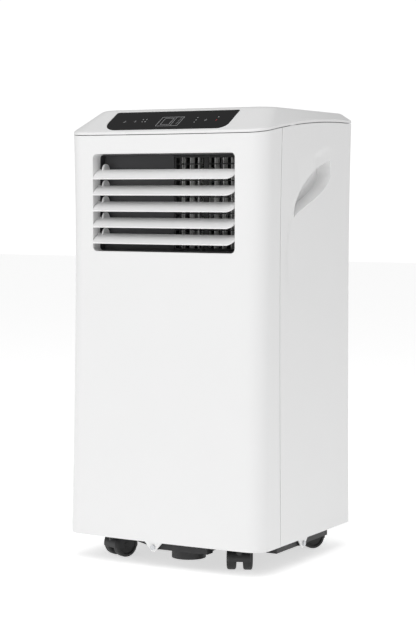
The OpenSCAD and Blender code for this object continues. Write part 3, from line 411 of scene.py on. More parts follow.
def turned_outward(bm: bmesh.types.BMesh) -> None:
    """Makes a mesh's faces agree and point away from its middle."""
    bmesh.ops.recalc_face_normals(bm, faces=bm.faces[:])
    if any(edge.is_boundary for edge in bm.edges):
        total = sum((f.calc_center_median() * f.calc_area() for f in bm.faces), Vector())
        middle = total / sum(f.calc_area() for f in bm.faces)
        outward = sum(f.normal.dot(f.calc_center_median() - middle) * f.calc_area() for f in bm.faces)
    else:
        outward = bm.calc_volume(signed=True)
    if outward < 0:
        bmesh.ops.reverse_faces(bm, faces=bm.faces[:])


def baked(piece: bpy.types.Object) -> None:
    """Applies an object's modifiers to its mesh."""
    graph = bpy.context.evaluated_depsgraph_get()
    made = bpy.data.meshes.new_from_object(piece.evaluated_get(graph))
    made.name = piece.data.name
    piece.modifiers.clear()
    piece.data = made


@dataclass(frozen=True)
class Edging:
    """How a piece's skin is thickened and its edges are rounded, in millimetres."""

    wall: float = 0.0
    radius: float = 0.0
    even: bool = True
    side: float = -1.0
    segments: int = 3
    angle: float = 38.0


def make_piece(
    bm: bmesh.types.BMesh,
    name: str,
    finish: Finish,
    slot: str,
    body: str = HOUSING,
    replaces: Iterable[str] = (),
    edging: Edging = Edging(),
    cutters: Sequence[bmesh.types.BMesh] = (),
) -> bpy.types.Object:
    """Turns a mesh in millimetres into a finished piece that rides on a body.

    Args:
        bm: The mesh, which is used up.
        name: Name of the piece.
        finish: Its finish.
        slot: The record's material slot; not used.
        body: The body that it rides on.
        replaces: CAD nodes that it stands for.
        edging: Its wall and its rounded edges.
        cutters: Closed meshes to cut away from it, which are used up.

    Returns:
        The piece.
    """
    turned_outward(bm)
    piece = _linked(bm, name)
    if edging.wall:
        solid = piece.modifiers.new("wall", "SOLIDIFY")
        solid.thickness = edging.wall * MM
        solid.offset = edging.side
        solid.use_even_offset = edging.even
    if edging.radius:
        bevel = piece.modifiers.new("edges", "BEVEL")
        bevel.width = edging.radius * MM
        bevel.segments = edging.segments
        bevel.limit_method = "ANGLE"
        bevel.angle_limit = math.radians(edging.angle)
    tools = []
    for cutter in cutters:
        turned_outward(cutter)
        tool = _linked(cutter, name + "_cutter")
        cut = piece.modifiers.new("cut", "BOOLEAN")
        cut.operation = "DIFFERENCE"
        cut.solver = "EXACT"
        cut.object = tool
        tools.append(tool)
    baked(piece)
    for tool in tools:
        bpy.data.objects.remove(tool)
    piece.data.shade_smooth()
    piece.data.set_sharp_from_angle(angle=math.radians(40))
    weighted = piece.modifiers.new("normals", "WEIGHTED_NORMAL")
    weighted.keep_sharp = True
    piece.data.materials.clear()
    WARDROBE.dress(piece, finish)
    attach(piece, body)
    stood_for = tuple(replaces)
    if stood_for:
        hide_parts(*stood_for)
    log.info("%s: %d faces on %s", name, len(piece.data.polygons), body)
    return piece


def _linked(bm: bmesh.types.BMesh, name: str) -> bpy.types.Object:
    """Scales a mesh to metres and links it to the scene as an object."""
    bmesh.ops.scale(bm, vec=(MM, MM, MM), verts=bm.verts[:])
    mesh = bpy.data.meshes.new(name)
    bm.to_mesh(mesh)
    bm.free()
    made = bpy.data.objects.new(name, mesh)
    bpy.context.scene.collection.objects.link(made)
    return made


AXIS_TURNS = {"X": Matrix.Rotation(math.pi / 2, 4, "Y"), "Y": Matrix.Rotation(-math.pi / 2, 4, "X"), "Z": Matrix()}


def add_rod(
    bm: bmesh.types.BMesh, axis: str, radius: float, middle: Sequence[float], length: float, segments: int = 48
) -> list[bmesh.types.BMVert]:
    """Adds a closed cylinder along an axis and gives its vertices."""
    place = Matrix.Translation(middle) @ AXIS_TURNS[axis]
    return bmesh.ops.create_cone(
        bm, cap_ends=True, segments=segments, radius1=radius, radius2=radius, depth=length, matrix=place
    )["verts"]


def round_corner(
    bm: bmesh.types.BMesh, corner: bmesh.types.BMVert, radius: float, segments: int
) -> bmesh.types.BMFace:
    """Rounds a flat face's corner and gives the face."""
    made = bmesh.ops.bevel(
        bm, geom=[corner], offset=radius, segments=segments, profile=0.5, affect="VERTICES", material=-1
    )
    return made["verts"][0].link_faces[0]


def add_sheet(
    bm: bmesh.types.BMesh, width: float, height: float, radii: Sequence[float], segments: int = 8
) -> bmesh.types.BMFace:
    """Adds a flat rectangle with rounded corners in the XY plane.

    Args:
        bm: The mesh to add to.
        width: Size along X.
        height: Size along Y.
        radii: Corner radii, anticlockwise from the lower left.
        segments: Segments on each corner.

    Returns:
        Its one face.
    """
    place = Matrix.Diagonal((width, height, 1.0, 1.0))
    made = bmesh.ops.create_grid(bm, x_segments=1, y_segments=1, size=0.5, matrix=place)
    face = made["verts"][0].link_faces[0]
    quarters = [(-1, -1), (1, -1), (1, 1), (-1, 1)]
    for (right, up), radius in zip(quarters, radii):
        corner = min(face.verts, key=lambda v: (v.co.x - right * width / 2) ** 2 + (v.co.y - up * height / 2) ** 2)
        face = round_corner(bm, corner, radius, segments)
    return face


def raise_faces(
    bm: bmesh.types.BMesh, faces: Sequence[bmesh.types.BMFace], move: Sequence[float]
) -> bmesh.types.BMFace:
    """Extrudes flat faces into solids along a move and gives the first moved face."""
    made = bmesh.ops.extrude_face_region(bm, geom=faces, use_keep_orig=True)["geom"]
    verts = [item for item in made if isinstance(item, bmesh.types.BMVert)]
    bmesh.ops.translate(bm, verts=verts, vec=move)
    return next(item for item in made if isinstance(item, bmesh.types.BMFace))


def lay_grid(wide: int, tall: int, place: Callable[[int, int], Vector]) -> bmesh.types.BMesh:
    """Builds a sheet of quads with the vertex of each column and row at place(column, row)."""
    bm = bmesh.new()
    bmesh.ops.create_grid(bm, x_segments=wide, y_segments=tall, size=1.0)
    for vert in bm.verts:
        vert.co = place(round((vert.co.x + 1) / 2 * wide), round((vert.co.y + 1) / 2 * tall))
    return bm


def push_rim(
    bm: bmesh.types.BMesh, edges: Sequence[bmesh.types.BMEdge], move: Callable[[Vector], Vector]
) -> list[bmesh.types.BMEdge]:
    """Extrudes a loop of edges and moves the new one.

    Args:
        bm: The mesh.
        edges: The loop to extrude.
        move: Takes a vertex's place to its new place.

    Returns:
        The edges of the new loop.
    """
    made = bmesh.ops.extrude_edge_only(bm, edges=edges)["geom"]
    verts = {item for item in made if isinstance(item, bmesh.types.BMVert)}
    for vert in verts:
        vert.co = move(vert.co)
    return [e for e in made if isinstance(e, bmesh.types.BMEdge) and set(e.verts) <= verts]


def open_window(bm: bmesh.types.BMesh, inside: Callable[[Vector], bool]) -> list[bmesh.types.BMEdge]:
    """Deletes the faces whose middles are inside, and gives the edges round the hole."""
    gone = {face for face in bm.faces if inside(face.calc_center_median())}
    edges = {e for face in gone for e in face.edges if sum(f in gone for f in e.link_faces) == 1}
    bmesh.ops.delete(bm, geom=list(gone), context="FACES")
    return [edge for edge in edges if edge.is_valid]


def fit_loop(
    bm: bmesh.types.BMesh, window: Sequence[bmesh.types.BMEdge], face: bmesh.types.BMFace
) -> list[bmesh.types.BMEdge]:
    """Joins a window to the outline of a face, drops the face and gives its outline's edges."""
    edges = list(face.edges)
    bmesh.ops.delete(bm, geom=[face], context="FACES_ONLY")
    bmesh.ops.bridge_loops(bm, edges=list(window) + edges)
    return edges


# ---- Outline of the housing -------------------------------------------------


class Wall(Enum):
    """The stretches of the outline, from the middle of the front round to the middle of the rear."""

    FRONT = "front"
    FRONT_CORNER = "front corner"
    SIDE = "side"
    REAR_CORNER = "rear corner"
    REAR = "rear"


@dataclass(frozen=True)
class Station:
    """One upright line on the outline: its x on the front and rear, degrees on a corner, y on a side."""

    wall: Wall
    at: float
    side: int = 1

    def mirrored(self) -> "Station":
        """Gives the same line on the other side."""
        return Station(self.wall, self.at, -self.side)


def both_sides(right: Sequence[Station]) -> list[Station]:
    """Runs from the left end of a symmetrical outline to the right end, through its middle."""
    return [station.mirrored() for station in reversed(right[1:])] + list(right)


@dataclass(frozen=True)
class Outline:
    """The housing's waisted outline, its curved seam and the shallow relief on its sides."""

    front: float
    rear: float
    foot_half: float
    seam_y: float
    waist_half: float = 170.5
    waist_z: float = 482.0
    skirt_z: float = 40.3
    front_seam_z: float = 664.0
    rear_seam_z: float = 691.0
    lean: float = 4.0
    bow: float = 4.5
    front_r: float = 28.0
    rear_r: float = 11.0
    crease_y: float = 75.0
    crease_z: float = 476.0
    crease_wide: float = 159.0
    crease_tall: float = 174.0
    crease_depth: float = 1.7

    def flare(self, z: float) -> float:
        """Gives the share of the foot's flare at a level."""
        if z < self.waist_z:
            return ((self.waist_z - z) / (self.waist_z - self.skirt_z)) ** 1.7
        return 0.5 * ((z - self.waist_z) / (self.front_seam_z - self.waist_z)) ** 2

    def half(self, z: float) -> float:
        """Gives half the width at a level."""
        return mix(self.waist_half, self.foot_half, self.flare(z))

    def front_at(self, z: float) -> float:
        """Gives the y of the front's middle at a level."""
        return self.front + self.lean * (1 - self.flare(z))

    def seam_z(self, y: float) -> float:
        """Gives the height of the seam under the lid."""
        back = max(0.0, 1 - (y - self.front) / (0.93 * (self.rear - self.front)))
        return self.rear_seam_z - (self.rear_seam_z - self.front_seam_z) * back**2

    def front_surface(self, x: float, z: float) -> Vector:
        """Gives the point of the bowed front at x and z."""
        return Vector((x, self.front_at(z) + self.bow * (x / self.half(z)) ** 2, z))

    def crease(self, y: float, z: float) -> float:
        """Gives how deep the shallow arc round the hand recess is sunk into a side."""
        rise = max(0.0, z - self.crease_z) / self.crease_tall
        inside = (1 - math.hypot((y - self.crease_y) / self.crease_wide, rise)) * self.crease_wide
        fade = soft_step((z - 390) / 90) * soft_step((self.crease_y - y) / 50)
        return self.crease_depth * fade * soft_step(inside / 4) * (1 - 0.85 * soft_step((inside - 5) / 30))

    def side_surface(self, y: float, z: float) -> Vector:
        """Gives the point of the right side at y and z."""
        share = (z - self.skirt_z) / (self.seam_z(y) - self.skirt_z)
        nominal = mix(self.skirt_z, self.front_seam_z, share)
        return Vector((self.half(nominal) - self.crease(y, z), y, z))

    def plan(self, station: Station, half: float, front: float, rear: float, front_r: float, bow: float) -> Vector:
        """Places a station in plan.

        Args:
            station: The upright line.
            half: Half the width.
            front: The y of the front's middle.
            rear: The y of the rear.
            front_r: Radius of the front corners.
            bow: How far the front's middle stands ahead.

        Returns:
            The point, at z = 0.
        """
        turn = math.radians(station.at)
        edge = half - front_r
        corner_y = front + bow * (edge / half) ** 2 + front_r
        x, y = {
            Wall.FRONT: lambda: (station.at, front + bow * (station.at / half) ** 2),
            Wall.FRONT_CORNER: lambda: (edge + front_r * math.sin(turn), corner_y - front_r * math.cos(turn)),
            Wall.SIDE: lambda: (half, station.at),
            Wall.REAR_CORNER: lambda: (
                half - self.rear_r * (1 - math.cos(turn)), rear - self.rear_r * (1 - math.sin(turn))),
            Wall.REAR: lambda: (station.at, rear),
        }[station.wall]()
        return Vector((x * station.side, y, 0))

    def place(self, station: Station, share: float) -> Vector:
        """Places a station on the shells, a share of the way from the skirt to the seam."""
        nominal = mix(self.skirt_z, self.front_seam_z, share)
        point = self.plan(station, self.half(nominal), self.front_at(nominal), self.rear, self.front_r, self.bow)
        point.z = mix(self.skirt_z, self.seam_z(point.y), share)
        if station.wall is Wall.SIDE:
            point.x -= station.side * self.crease(point.y, point.z)
        return point

    def skin(self, columns: Sequence[Station], shares: Sequence[float]) -> bmesh.types.BMesh:
        """Lays a sheet of quads over the outline.

        Args:
            columns: Its upright lines, in order.
            shares: Its levels, as shares of the way from the skirt to the seam.

        Returns:
            The sheet.
        """
        return lay_grid(
            len(columns) - 1, len(shares) - 1, lambda column, row: self.place(columns[column], shares[row])
        )


# ---- Shells -----------------------------------------------------------------


@dataclass
class ScrewLug:
    """A triangular screw lug that hangs below a shell, drawn in the XZ plane and facing -Y."""

    width: float = 46.0
    rise: float = 8.0
    drop: float = 17.2
    thickness: float = 3.4
    tip_cut: float = 4.32
    screw_drop: float = 8.0
    hole_r: float = 2.05

    def mesh(self) -> bmesh.types.BMesh:
        """Builds the lug with its top above z = 0; build() pierces it for its screw."""
        bm = bmesh.new()
        bmesh.ops.create_circle(bm, cap_ends=True, segments=3, radius=1.0)
        bm.verts.ensure_lookup_table()
        corners = [(-self.width / 2, self.rise), (0, -self.drop), (self.width / 2, self.rise)]
        for vert, (x, z) in zip(bm.verts, corners):
            vert.co = (x, 0, z)
        round_corner(bm, bm.verts[1], self.tip_cut, 6)
        raise_faces(bm, bm.faces[:], (0, self.thickness, 0))
        return bm

    def cutter(self) -> bmesh.types.BMesh:
        """Builds the screw's clearance hole."""
        bm = bmesh.new()
        add_rod(bm, "Y", self.hole_r, (0, self.thickness / 2, -self.screw_drop), self.thickness * 3)
        return bm

    def build(self, name: str, place: Matrix) -> None:
        """Builds the lug as a piece at a place."""
        lug, hole = self.mesh(), self.cutter()
        for bm in (lug, hole):
            bmesh.ops.transform(bm, matrix=place, verts=bm.verts[:])
        make_piece(lug, name, SHELL_WHITE, "shell_white", edging=Edging(radius=0.7), cutters=[hole])


@dataclass
class FrontShell:
    """The bowed front moulding with its air outlet."""

    outline: Outline
    gap: float = 1.8
    wall: float = 3.0
    margin: float = 7.0
    corner_r: float = 7.0
    lug_x: float = -12.0

    def __post_init__(self) -> None:
        """Takes the outlet's size from the bezel behind it."""
        low, high = mm_box("outlet_bezel")
        self.lip_back = low.y
        self.half = high.x - BEZEL_WALL
        self.low, self.high = low.z + BEZEL_WALL, high.z - BEZEL_WALL

    def shares(self) -> list[float]:
        """Gives the shell's levels, which line up with the outlet's window."""
        o = self.outline
        bottom, top = [
            (z - o.skirt_z) / (o.front_seam_z - o.skirt_z) for z in (self.low - self.margin, self.high + self.margin)
        ]
        return steps(0, bottom, 30)[:-1] + steps(bottom, top, 12)[:-1] + steps(top, 1, 3)

    def columns(self) -> list[Station]:
        """Gives the shell's upright lines, which line up with the outlet's window."""
        window = self.half + self.margin
        end = self.outline.seam_y - self.gap / 2
        start = self.outline.front + self.outline.front_r + self.outline.bow + self.outline.lean
        right = [Station(Wall.FRONT, x) for x in steps(0, window, 8) + [window + 4]]
        right += [Station(Wall.FRONT_CORNER, angle) for angle in steps(0, 90, 12)]
        right += [Station(Wall.SIDE, y) for y in steps(start + 3, end, 5)]
        return both_sides(right)

    def build(self) -> None:
        """Builds the shell and its lug."""
        o = self.outline
        bm = o.skin(self.columns(), self.shares())
        middle = (self.low + self.high) / 2
        reach = (self.high - self.low) / 2 + self.margin
        window = open_window(
            bm, lambda p: abs(p.x) < self.half + self.margin and abs(p.z - middle) < reach and p.y < o.seam_y
        )
        face = add_sheet(bm, 2 * self.half, self.high - self.low, [self.corner_r] * 4)
        long_edges = [edge for edge in face.edges if edge.calc_length() > 20]
        bmesh.ops.subdivide_edges(bm, edges=long_edges, cuts=11)
        for vert in face.verts:
            vert.co = o.front_surface(vert.co.x, vert.co.y + middle)
        rim = fit_loop(bm, window, face)
        push_rim(bm, rim, lambda p: Vector((p.x, self.lip_back, p.z)))
        make_piece(
            bm, "front_shell_skin", SHELL_WHITE, "shell_white", replaces=["front_shell"],
            edging=Edging(self.wall, 0.8),
        )
        lug_y = o.front_at(o.skirt_z) + self.wall - 1
        ScrewLug().build("front_screw_lug", Matrix.Translation((self.lug_x, lug_y, o.skirt_z)))


@dataclass
class HandRecess:
    """The leaf-shaped hand recess in each side."""

    tip_y: float = -57.5
    tip_z: float = 540.5
    length: float = 151.0
    tilt: float = 36.0
    floor_x: float = 146.5
    points: int = 24
    margin: float = 5.0
    lower: Sequence = ((0, 0), (0.33, -0.015), (0.96, -0.385), (1, 0))
    upper: Sequence = ((1, 0), (0.53, 0.225), (0.08, 0.16), (0, 0))

    def point(self, share: float) -> Vector:
        """Gives the point a share of the way round the leaf, as (y, z)."""
        curve, t = (self.lower, share * 2) if share < 0.5 else (self.upper, share * 2 - 1)
        weights = ((1 - t) ** 3, 3 * t * (1 - t) ** 2, 3 * t * t * (1 - t), t**3)
        along = sum(w * p[0] for w, p in zip(weights, curve)) * self.length
        across = sum(w * p[1] for w, p in zip(weights, curve)) * self.length
        turn = math.radians(self.tilt)
        return Vector((
            self.tip_y + along * math.cos(turn) - across * math.sin(turn),
            self.tip_z + along * math.sin(turn) + across * math.cos(turn),
        ))

    def near(self, place: Vector) -> bool:
        """Says whether a point lies in the box round the leaf, grown by the margin."""
        ring = [self.point(i / self.points) for i in range(self.points)]
        spans = ((place.y, [p.x for p in ring]), (place.z, [p.y for p in ring]))
        return all(min(span) - self.margin < at < max(span) + self.margin for at, span in spans)

    def cut(self, bm: bmesh.types.BMesh, outline: Outline, side: int) -> None:
        """Sinks the recess into a shell's skin on one side."""
        window = open_window(bm, lambda p: p.x * side > self.floor_x and self.near(p))
        made = bmesh.ops.create_circle(bm, cap_ends=True, segments=self.points, radius=1.0)["verts"]
        for vert in made:
            share = (math.atan2(vert.co.y, vert.co.x) / math.tau) % 1.0
            y, z = self.point(round(share * self.points) % self.points / self.points)
            vert.co = outline.side_surface(y, z)
            vert.co.x *= side
        face = made[0].link_faces[0]
        rim = fit_loop(bm, window, face)
        floor = push_rim(bm, rim, lambda p: Vector((self.floor_x * side, p.y, p.z)))
        bmesh.ops.edgeloop_fill(bm, edges=floor)


@dataclass
class RearShell:
    """The wrap-around rear moulding with its hand recesses and the openings in its rear wall."""

    outline: Outline
    gap: float = 1.8
    wall: float = 3.0
    cover_gap: float = 0.6
    intake_r: float = 6.0
    lug_y: float = -22.5
    cutter_depth: float = 24.0
    fine_from: float = 0.52
    passages: Sequence = (("exhaust_collar", -5.5), ("drain_cap", -0.6), ("drain_plug", -0.6), ("cord_gland", -3.3))

    def columns(self) -> list[Station]:
        """Gives the shell's upright lines."""
        o = self.outline
        right = [Station(Wall.REAR, x) for x in steps(0, 150, 6)]
        right += [Station(Wall.REAR_CORNER, angle) for angle in steps(90, 0, 8)]
        right += [Station(Wall.SIDE, y) for y in steps(o.rear - o.rear_r - 3, o.seam_y + self.gap / 2, 60)]
        return both_sides(right)

    def holes(self) -> list[bmesh.types.BMesh]:
        """Builds the cutters for the intakes and for what passes through the rear wall."""
        made = []
        for node in ("filter_frame", "lower_grille"):
            low, high = mm_box(node)
            bm = bmesh.new()
            size = [high.x - low.x + 2 * self.cover_gap, high.z - low.z + 2 * self.cover_gap]
            face = add_sheet(bm, *size, [self.intake_r] * 4)
            raise_faces(bm, [face], (0, 0, self.cutter_depth))
            place = Matrix.Translation((0, self.outline.rear + self.cutter_depth / 2, (low.z + high.z) / 2))
            bmesh.ops.transform(bm, matrix=place @ Matrix.Rotation(math.pi / 2, 4, "X"), verts=bm.verts[:])
            made.append(bm)
        for node, clearance in self.passages:
            low, high = mm_box(node)
            bm = bmesh.new()
            middle = ((low.x + high.x) / 2, self.outline.rear, (low.z + high.z) / 2)
            add_rod(bm, "Y", (high.x - low.x) / 2 + clearance, middle, self.cutter_depth, 64)
            made.append(bm)
        return made

    def build(self) -> None:
        """Builds the shell and its side lugs."""
        o = self.outline
        bm = o.skin(self.columns(), steps(0, self.fine_from, 22)[:-1] + steps(self.fine_from, 1, 62))
        recess = HandRecess()
        for side in (-1, 1):
            recess.cut(bm, o, side)
        make_piece(
            bm, "rear_shell_skin", SHELL_WHITE, "shell_white", replaces=["rear_shell"],
            edging=Edging(self.wall, 0.8, even=False), cutters=self.holes(),
        )
        for side, name in ((-1, "left_screw_lug"), (1, "right_screw_lug")):
            x = side * (o.half(o.skirt_z) - self.wall + 1)
            place = Matrix.Translation((x, self.lug_y, o.skirt_z)) @ Matrix.Rotation(side * math.pi / 2, 4, "Z")
            ScrewLug().build(name, place)


# ---- Lid and control panel --------------------------------------------------


@dataclass
class Lid:
    """The top moulding, which slopes up from the curved seam to its flat top."""

    outline: Outline
    top: float
    gap: float = 1.1
    lip: float = 4.0
    slope_d: float = 67.0
    head_half: float = 153.0
    head_r: float = 24.0
    fall: float = 1.5
    wall: float = 2.6
    soft: float = 9.0
    lip_soft: float = 2.4
    slope_from: float = 0.035
    slope_to: float = 0.88
    rear_inset: float = 1.0

    def top_z(self, y: float) -> float:
        """Gives the height of the top, which falls a little to the front."""
        o = self.outline
        return self.top - self.fall * (1 - (y - o.front) / (o.rear - o.front))

    def columns(self) -> list[tuple[Station, Station]]:
        """Gives the matching lines of the foot and of the head."""
        o = self.outline
        foot_half, foot_start = o.half(o.front_seam_z), o.front_at(o.front_seam_z) + o.front_r + o.bow - 1
        head_start = o.front + self.slope_d + self.head_r
        foot_end, head_end = foot_half - o.front_r - 1, self.head_half - self.head_r - 2
        right = [
            (Station(Wall.FRONT, share * foot_end), Station(Wall.FRONT, share * head_end))
            for share in steps(0, 1, 10)
        ]
        right += [(Station(Wall.FRONT_CORNER, a), Station(Wall.FRONT_CORNER, a)) for a in steps(0, 90, 14)]
        end = o.rear - o.rear_r - 1
        right += [
            (Station(Wall.SIDE, mix(foot_start + 3, end, s)), Station(Wall.SIDE, mix(head_start + 3, end, s)))
            for s in steps(0, 1, 24)
        ]
        right += [(Station(Wall.REAR_CORNER, a), Station(Wall.REAR_CORNER, a)) for a in steps(0, 90, 6)]
        right += [(Station(Wall.REAR, x), Station(Wall.REAR, x)) for x in (120, 60, 0)]
        left = [(a.mirrored(), b.mirrored()) for a, b in reversed(right[1:-1])]
        return right + left

    def foot(self, station: Station) -> Vector:
        """Places a line at the foot, on top of the lip."""
        o = self.outline
        point = o.plan(station, o.half(o.front_seam_z), o.front_at(o.front_seam_z), o.rear, o.front_r, o.bow)
        point.z = o.seam_z(point.y) + self.gap + self.lip
        return point

    def head(self, station: Station, inset: float = 0.0) -> Vector:
        """Places a line at the head, set in by an inset."""
        o = self.outline
        half = self.head_half - inset
        if station.wall in (Wall.FRONT, Wall.REAR):
            at = station.at * (half - self.head_r) / (self.head_half - self.head_r)
            station = Station(station.wall, at, station.side)
        front = o.front + self.slope_d + inset
        point = o.plan(station, half, front, o.rear - self.rear_inset - inset, self.head_r, 0)
        point.z = self.top_z(point.y)
        return point

    def profile(self, foot: Station, head: Station) -> list[Vector]:
        """Gives the points of one line, from the seam up over the lip and the slope to the top.

        Args:
            foot: The line at the foot.
            head: The line at the head.

        Returns:
            The points, from the lowest.
        """
        low, high = self.foot(foot), self.head(head)
        inner = self.head(head, self.soft)
        up = Vector((0, 0, 1))

        def on_slope(share: float) -> Vector:
            """Gives a point of the slope."""
            return low.lerp(high, share)

        def bend(first: Vector, middle: Vector, last: Vector, count: int) -> list[Vector]:
            """Rounds off the corner at middle."""
            return [
                first * (1 - t) ** 2 + middle * 2 * t * (1 - t) + last * t * t for t in steps(0, 1, count)
            ]

        lip = bend(low - up * self.lip_soft, low, on_slope(self.slope_from), 5)
        slope = [on_slope(s) for s in steps(self.slope_from, self.slope_to, 12)[1:-1]]
        return [low - up * self.lip] + lip + slope + bend(on_slope(self.slope_to), high, inner, 10)

    def build(self) -> None:
        """Builds the lid."""
        lines = [self.profile(foot, head) for foot, head in self.columns()]
        lines.append(lines[0])
        bm = lay_grid(len(lines) - 1, len(lines[0]) - 1, lambda line, level: lines[line][level])
        bmesh.ops.remove_doubles(bm, verts=bm.verts[:], dist=0.001)
        near_top = self.top - 2 * self.fall
        edges = [e for e in bm.edges if e.is_boundary and all(vert.co.z > near_top for vert in e.verts)]
        bmesh.ops.edgeloop_fill(bm, edges=edges)
        make_piece(
            bm, "top_lid_skin", SHELL_WHITE, "shell_white", replaces=["top_lid"],
            edging=Edging(self.wall, 0.5, even=False, angle=50), cutters=[ControlPanel(self).opening()],
        )


@dataclass
class ControlPanel:
    """The glossy touch overlay on the lid's slope, its raised rim and its printed symbols."""

    lid: Lid
    width: float = 218.0
    length: float = 58.0
    middle_x: float = -3.0
    start: float = 6.0
    radii: Sequence[float] = (26, 15, 3, 3)
    rim: float = 2.0
    rim_top: float = 0.6
    rim_depth: float = 3.8
    thickness: float = 1.2
    ink: float = 0.08
    power_key: Sequence[float] = (82.2, -4.6)
    other_keys: Sequence = ((-80, -1.6), (-61, -2.0), (63.4, -4.2))
    key_turns: Sequence[float] = (35, -35, 0)
    lamps: Sequence = ((-48, -3.2), (-42.6, -3.2), (-49.2, 4), (-43.2, 4), (46, 6.6), (46.4, -0.8), (46.4, -7.8))
    icon_levels: Sequence[float] = (-12.4, -7.6, -2.8, 2.0, 6.6)

    def __post_init__(self) -> None:
        """Works out the frame of the slope."""
        o = self.lid.outline
        low = Vector((self.middle_x, o.front_at(o.front_seam_z) + 1.5, o.front_seam_z + self.lid.gap + self.lid.lip))
        head_y = o.front + self.lid.slope_d
        tilt = math.atan2(self.lid.top_z(head_y) - low.z, head_y - low.y)
        up_slope = Matrix.Translation((0, self.start + self.length / 2, 0))
        self.place = Matrix.Translation(low) @ Matrix.Rotation(tilt, 4, "X") @ up_slope
        self.face = self.rim_top - 0.2

    def add(self, bm: bmesh.types.BMesh, name: str, finish: Finish, slot: str, **options: object) -> None:
        """Lays a mesh from the slope's own frame onto the slope, as a piece."""
        bmesh.ops.transform(bm, matrix=self.place, verts=bm.verts[:])
        make_piece(bm, name, finish, slot, **options)

    def opening(self) -> bmesh.types.BMesh:
        """Builds the cutter for the lid's opening, which the rim fills."""
        bm = bmesh.new()
        reach = 2 * (self.rim - 0.1)
        radii = [radius + self.rim for radius in self.radii]
        base = add_sheet(bm, self.width + reach, self.length + reach, radii)
        bmesh.ops.translate(bm, verts=bm.verts[:], vec=(0, 0, -12))
        raise_faces(bm, [base], (0, 0, 30))
        bmesh.ops.transform(bm, matrix=self.place, verts=bm.verts[:])
        return bm

    def build_rim(self) -> None:
        """Builds the raised white rim, with its seat for the overlay."""
        bm = bmesh.new()
        radii = [radius + self.rim for radius in self.radii]
        base = add_sheet(bm, self.width + 2 * self.rim, self.length + 2 * self.rim, radii)
        bmesh.ops.translate(bm, verts=bm.verts[:], vec=(0, 0, -self.rim_depth))
        top = raise_faces(bm, [base], (0, 0, self.rim_top + self.rim_depth))
        bmesh.ops.inset_region(bm, faces=[top], thickness=self.rim - 0.15, depth=0)
        bmesh.ops.inset_region(bm, faces=[top], thickness=0.01, depth=0)
        bmesh.ops.translate(bm, verts=top.verts[:], vec=(0, 0, -self.thickness))
        self.add(bm, "overlay_rim", SHELL_WHITE, "shell_white", edging=Edging(radius=0.35, segments=2))

    def build_overlay(self) -> None:
        """Builds the overlay."""
        bm = bmesh.new()
        base = add_sheet(bm, self.width, self.length, self.radii)
        bmesh.ops.translate(bm, verts=bm.verts[:], vec=(0, 0, self.face - self.thickness))
        raise_faces(bm, [base], (0, 0, self.thickness))
        self.add(
            bm, "touch_overlay", PANEL_BLACK, "overlay_black", replaces=["control_overlay"],
            edging=Edging(radius=0.25, segments=2),
        )

    def ring(self, bm: bmesh.types.BMesh, x: float, y: float, radius: float, line: float, sides: int = 32) -> None:
        """Adds a printed ring."""
        place = Matrix.Translation((x, y, self.face))
        made = bmesh.ops.create_circle(bm, cap_ends=True, segments=sides, radius=radius, matrix=place)["verts"]
        face = made[0].link_faces[0]
        bmesh.ops.inset_region(bm, faces=[face], thickness=line, depth=0)
        bmesh.ops.delete(bm, geom=[face], context="FACES")

    def bar(self, bm: bmesh.types.BMesh, x: float, y: float, width: float, height: float, turn: float = 0.0) -> None:
        """Adds a printed bar or dot."""
        place = Matrix.Translation((x, y, self.face)) @ Matrix.Rotation(math.radians(turn), 4, "Z")
        place = place @ Matrix.Diagonal((width, height, 1, 1))
        bmesh.ops.create_grid(bm, x_segments=1, y_segments=1, size=0.5, matrix=place)

    def frame_lines(self, bm: bmesh.types.BMesh, x0: float, x1: float, y0: float, y1: float, line: float) -> None:
        """Adds the four printed lines of a box."""
        for y in (y0, y1):
            self.bar(bm, (x0 + x1) / 2, y, x1 - x0 + line, line)
        for x in (x0, x1):
            self.bar(bm, x, (y0 + y1) / 2, line, y1 - y0)

    def print_grey(self) -> bmesh.types.BMesh:
        """Draws the grey symbols: four ringed keys, lamps, and a framed display with a column of icons."""
        bm = bmesh.new()
        for x, y in (*self.other_keys, self.power_key):
            self.ring(bm, x, y, 6.5, 0.9)
        for (x, _), turn in zip(self.other_keys, self.key_turns):
            for offset in (-1.6, 0.4, 2.4):
                self.bar(bm, x, -2.2 + offset, 4.8 - abs(offset), 0.7, turn)
        for x, y in self.lamps:
            self.bar(bm, x, y, 1.9, 1.9)
        self.bar(bm, 81.6, 7.0, 2.2, 2.2)
        self.frame_lines(bm, -17, 21, -17.8, 10, 0.8)
        self.frame_lines(bm, -10.5, 4.6, -13.4, 6.4, 0.8)
        self.bar(bm, 8.4, -3.8, 0.7, 27)
        for row, y in enumerate(self.icon_levels):
            self.ring(bm, 12.2, y, 1.7, 0.5, 12)
            self.bar(bm, 17.2, y, 3.0, 0.7, 45 * (row % 2))
        return bm

    def print_red(self) -> bmesh.types.BMesh:
        """Draws the power key's symbol: a broken ring and an upright stroke."""
        bm = bmesh.new()
        x, y = self.power_key
        self.ring(bm, x, y, 3.7, 1.1, 24)
        gone = [f for f in bm.faces if f.calc_center_median().y > y + 2.2]
        bmesh.ops.delete(bm, geom=gone, context="FACES")
        self.bar(bm, x, y + 1.9, 1.1, 4.6)
        return bm

    def build_print(self, bm: bmesh.types.BMesh, name: str, finish: Finish) -> None:
        """Gives printed shapes their thickness and lays them on the overlay."""
        raise_faces(bm, bm.faces[:], (0, 0, self.ink))
        self.add(bm, name, finish, "overlay_black")

    def build(self) -> None:
        """Builds the panel."""
        self.build_rim()
        self.build_overlay()
        self.build_print(self.print_grey(), "printed_symbols", PRINT_GREY)
        self.build_print(self.print_red(), "power_symbol", PRINT_RED)


# ---- Louvre -----------------------------------------------------------------


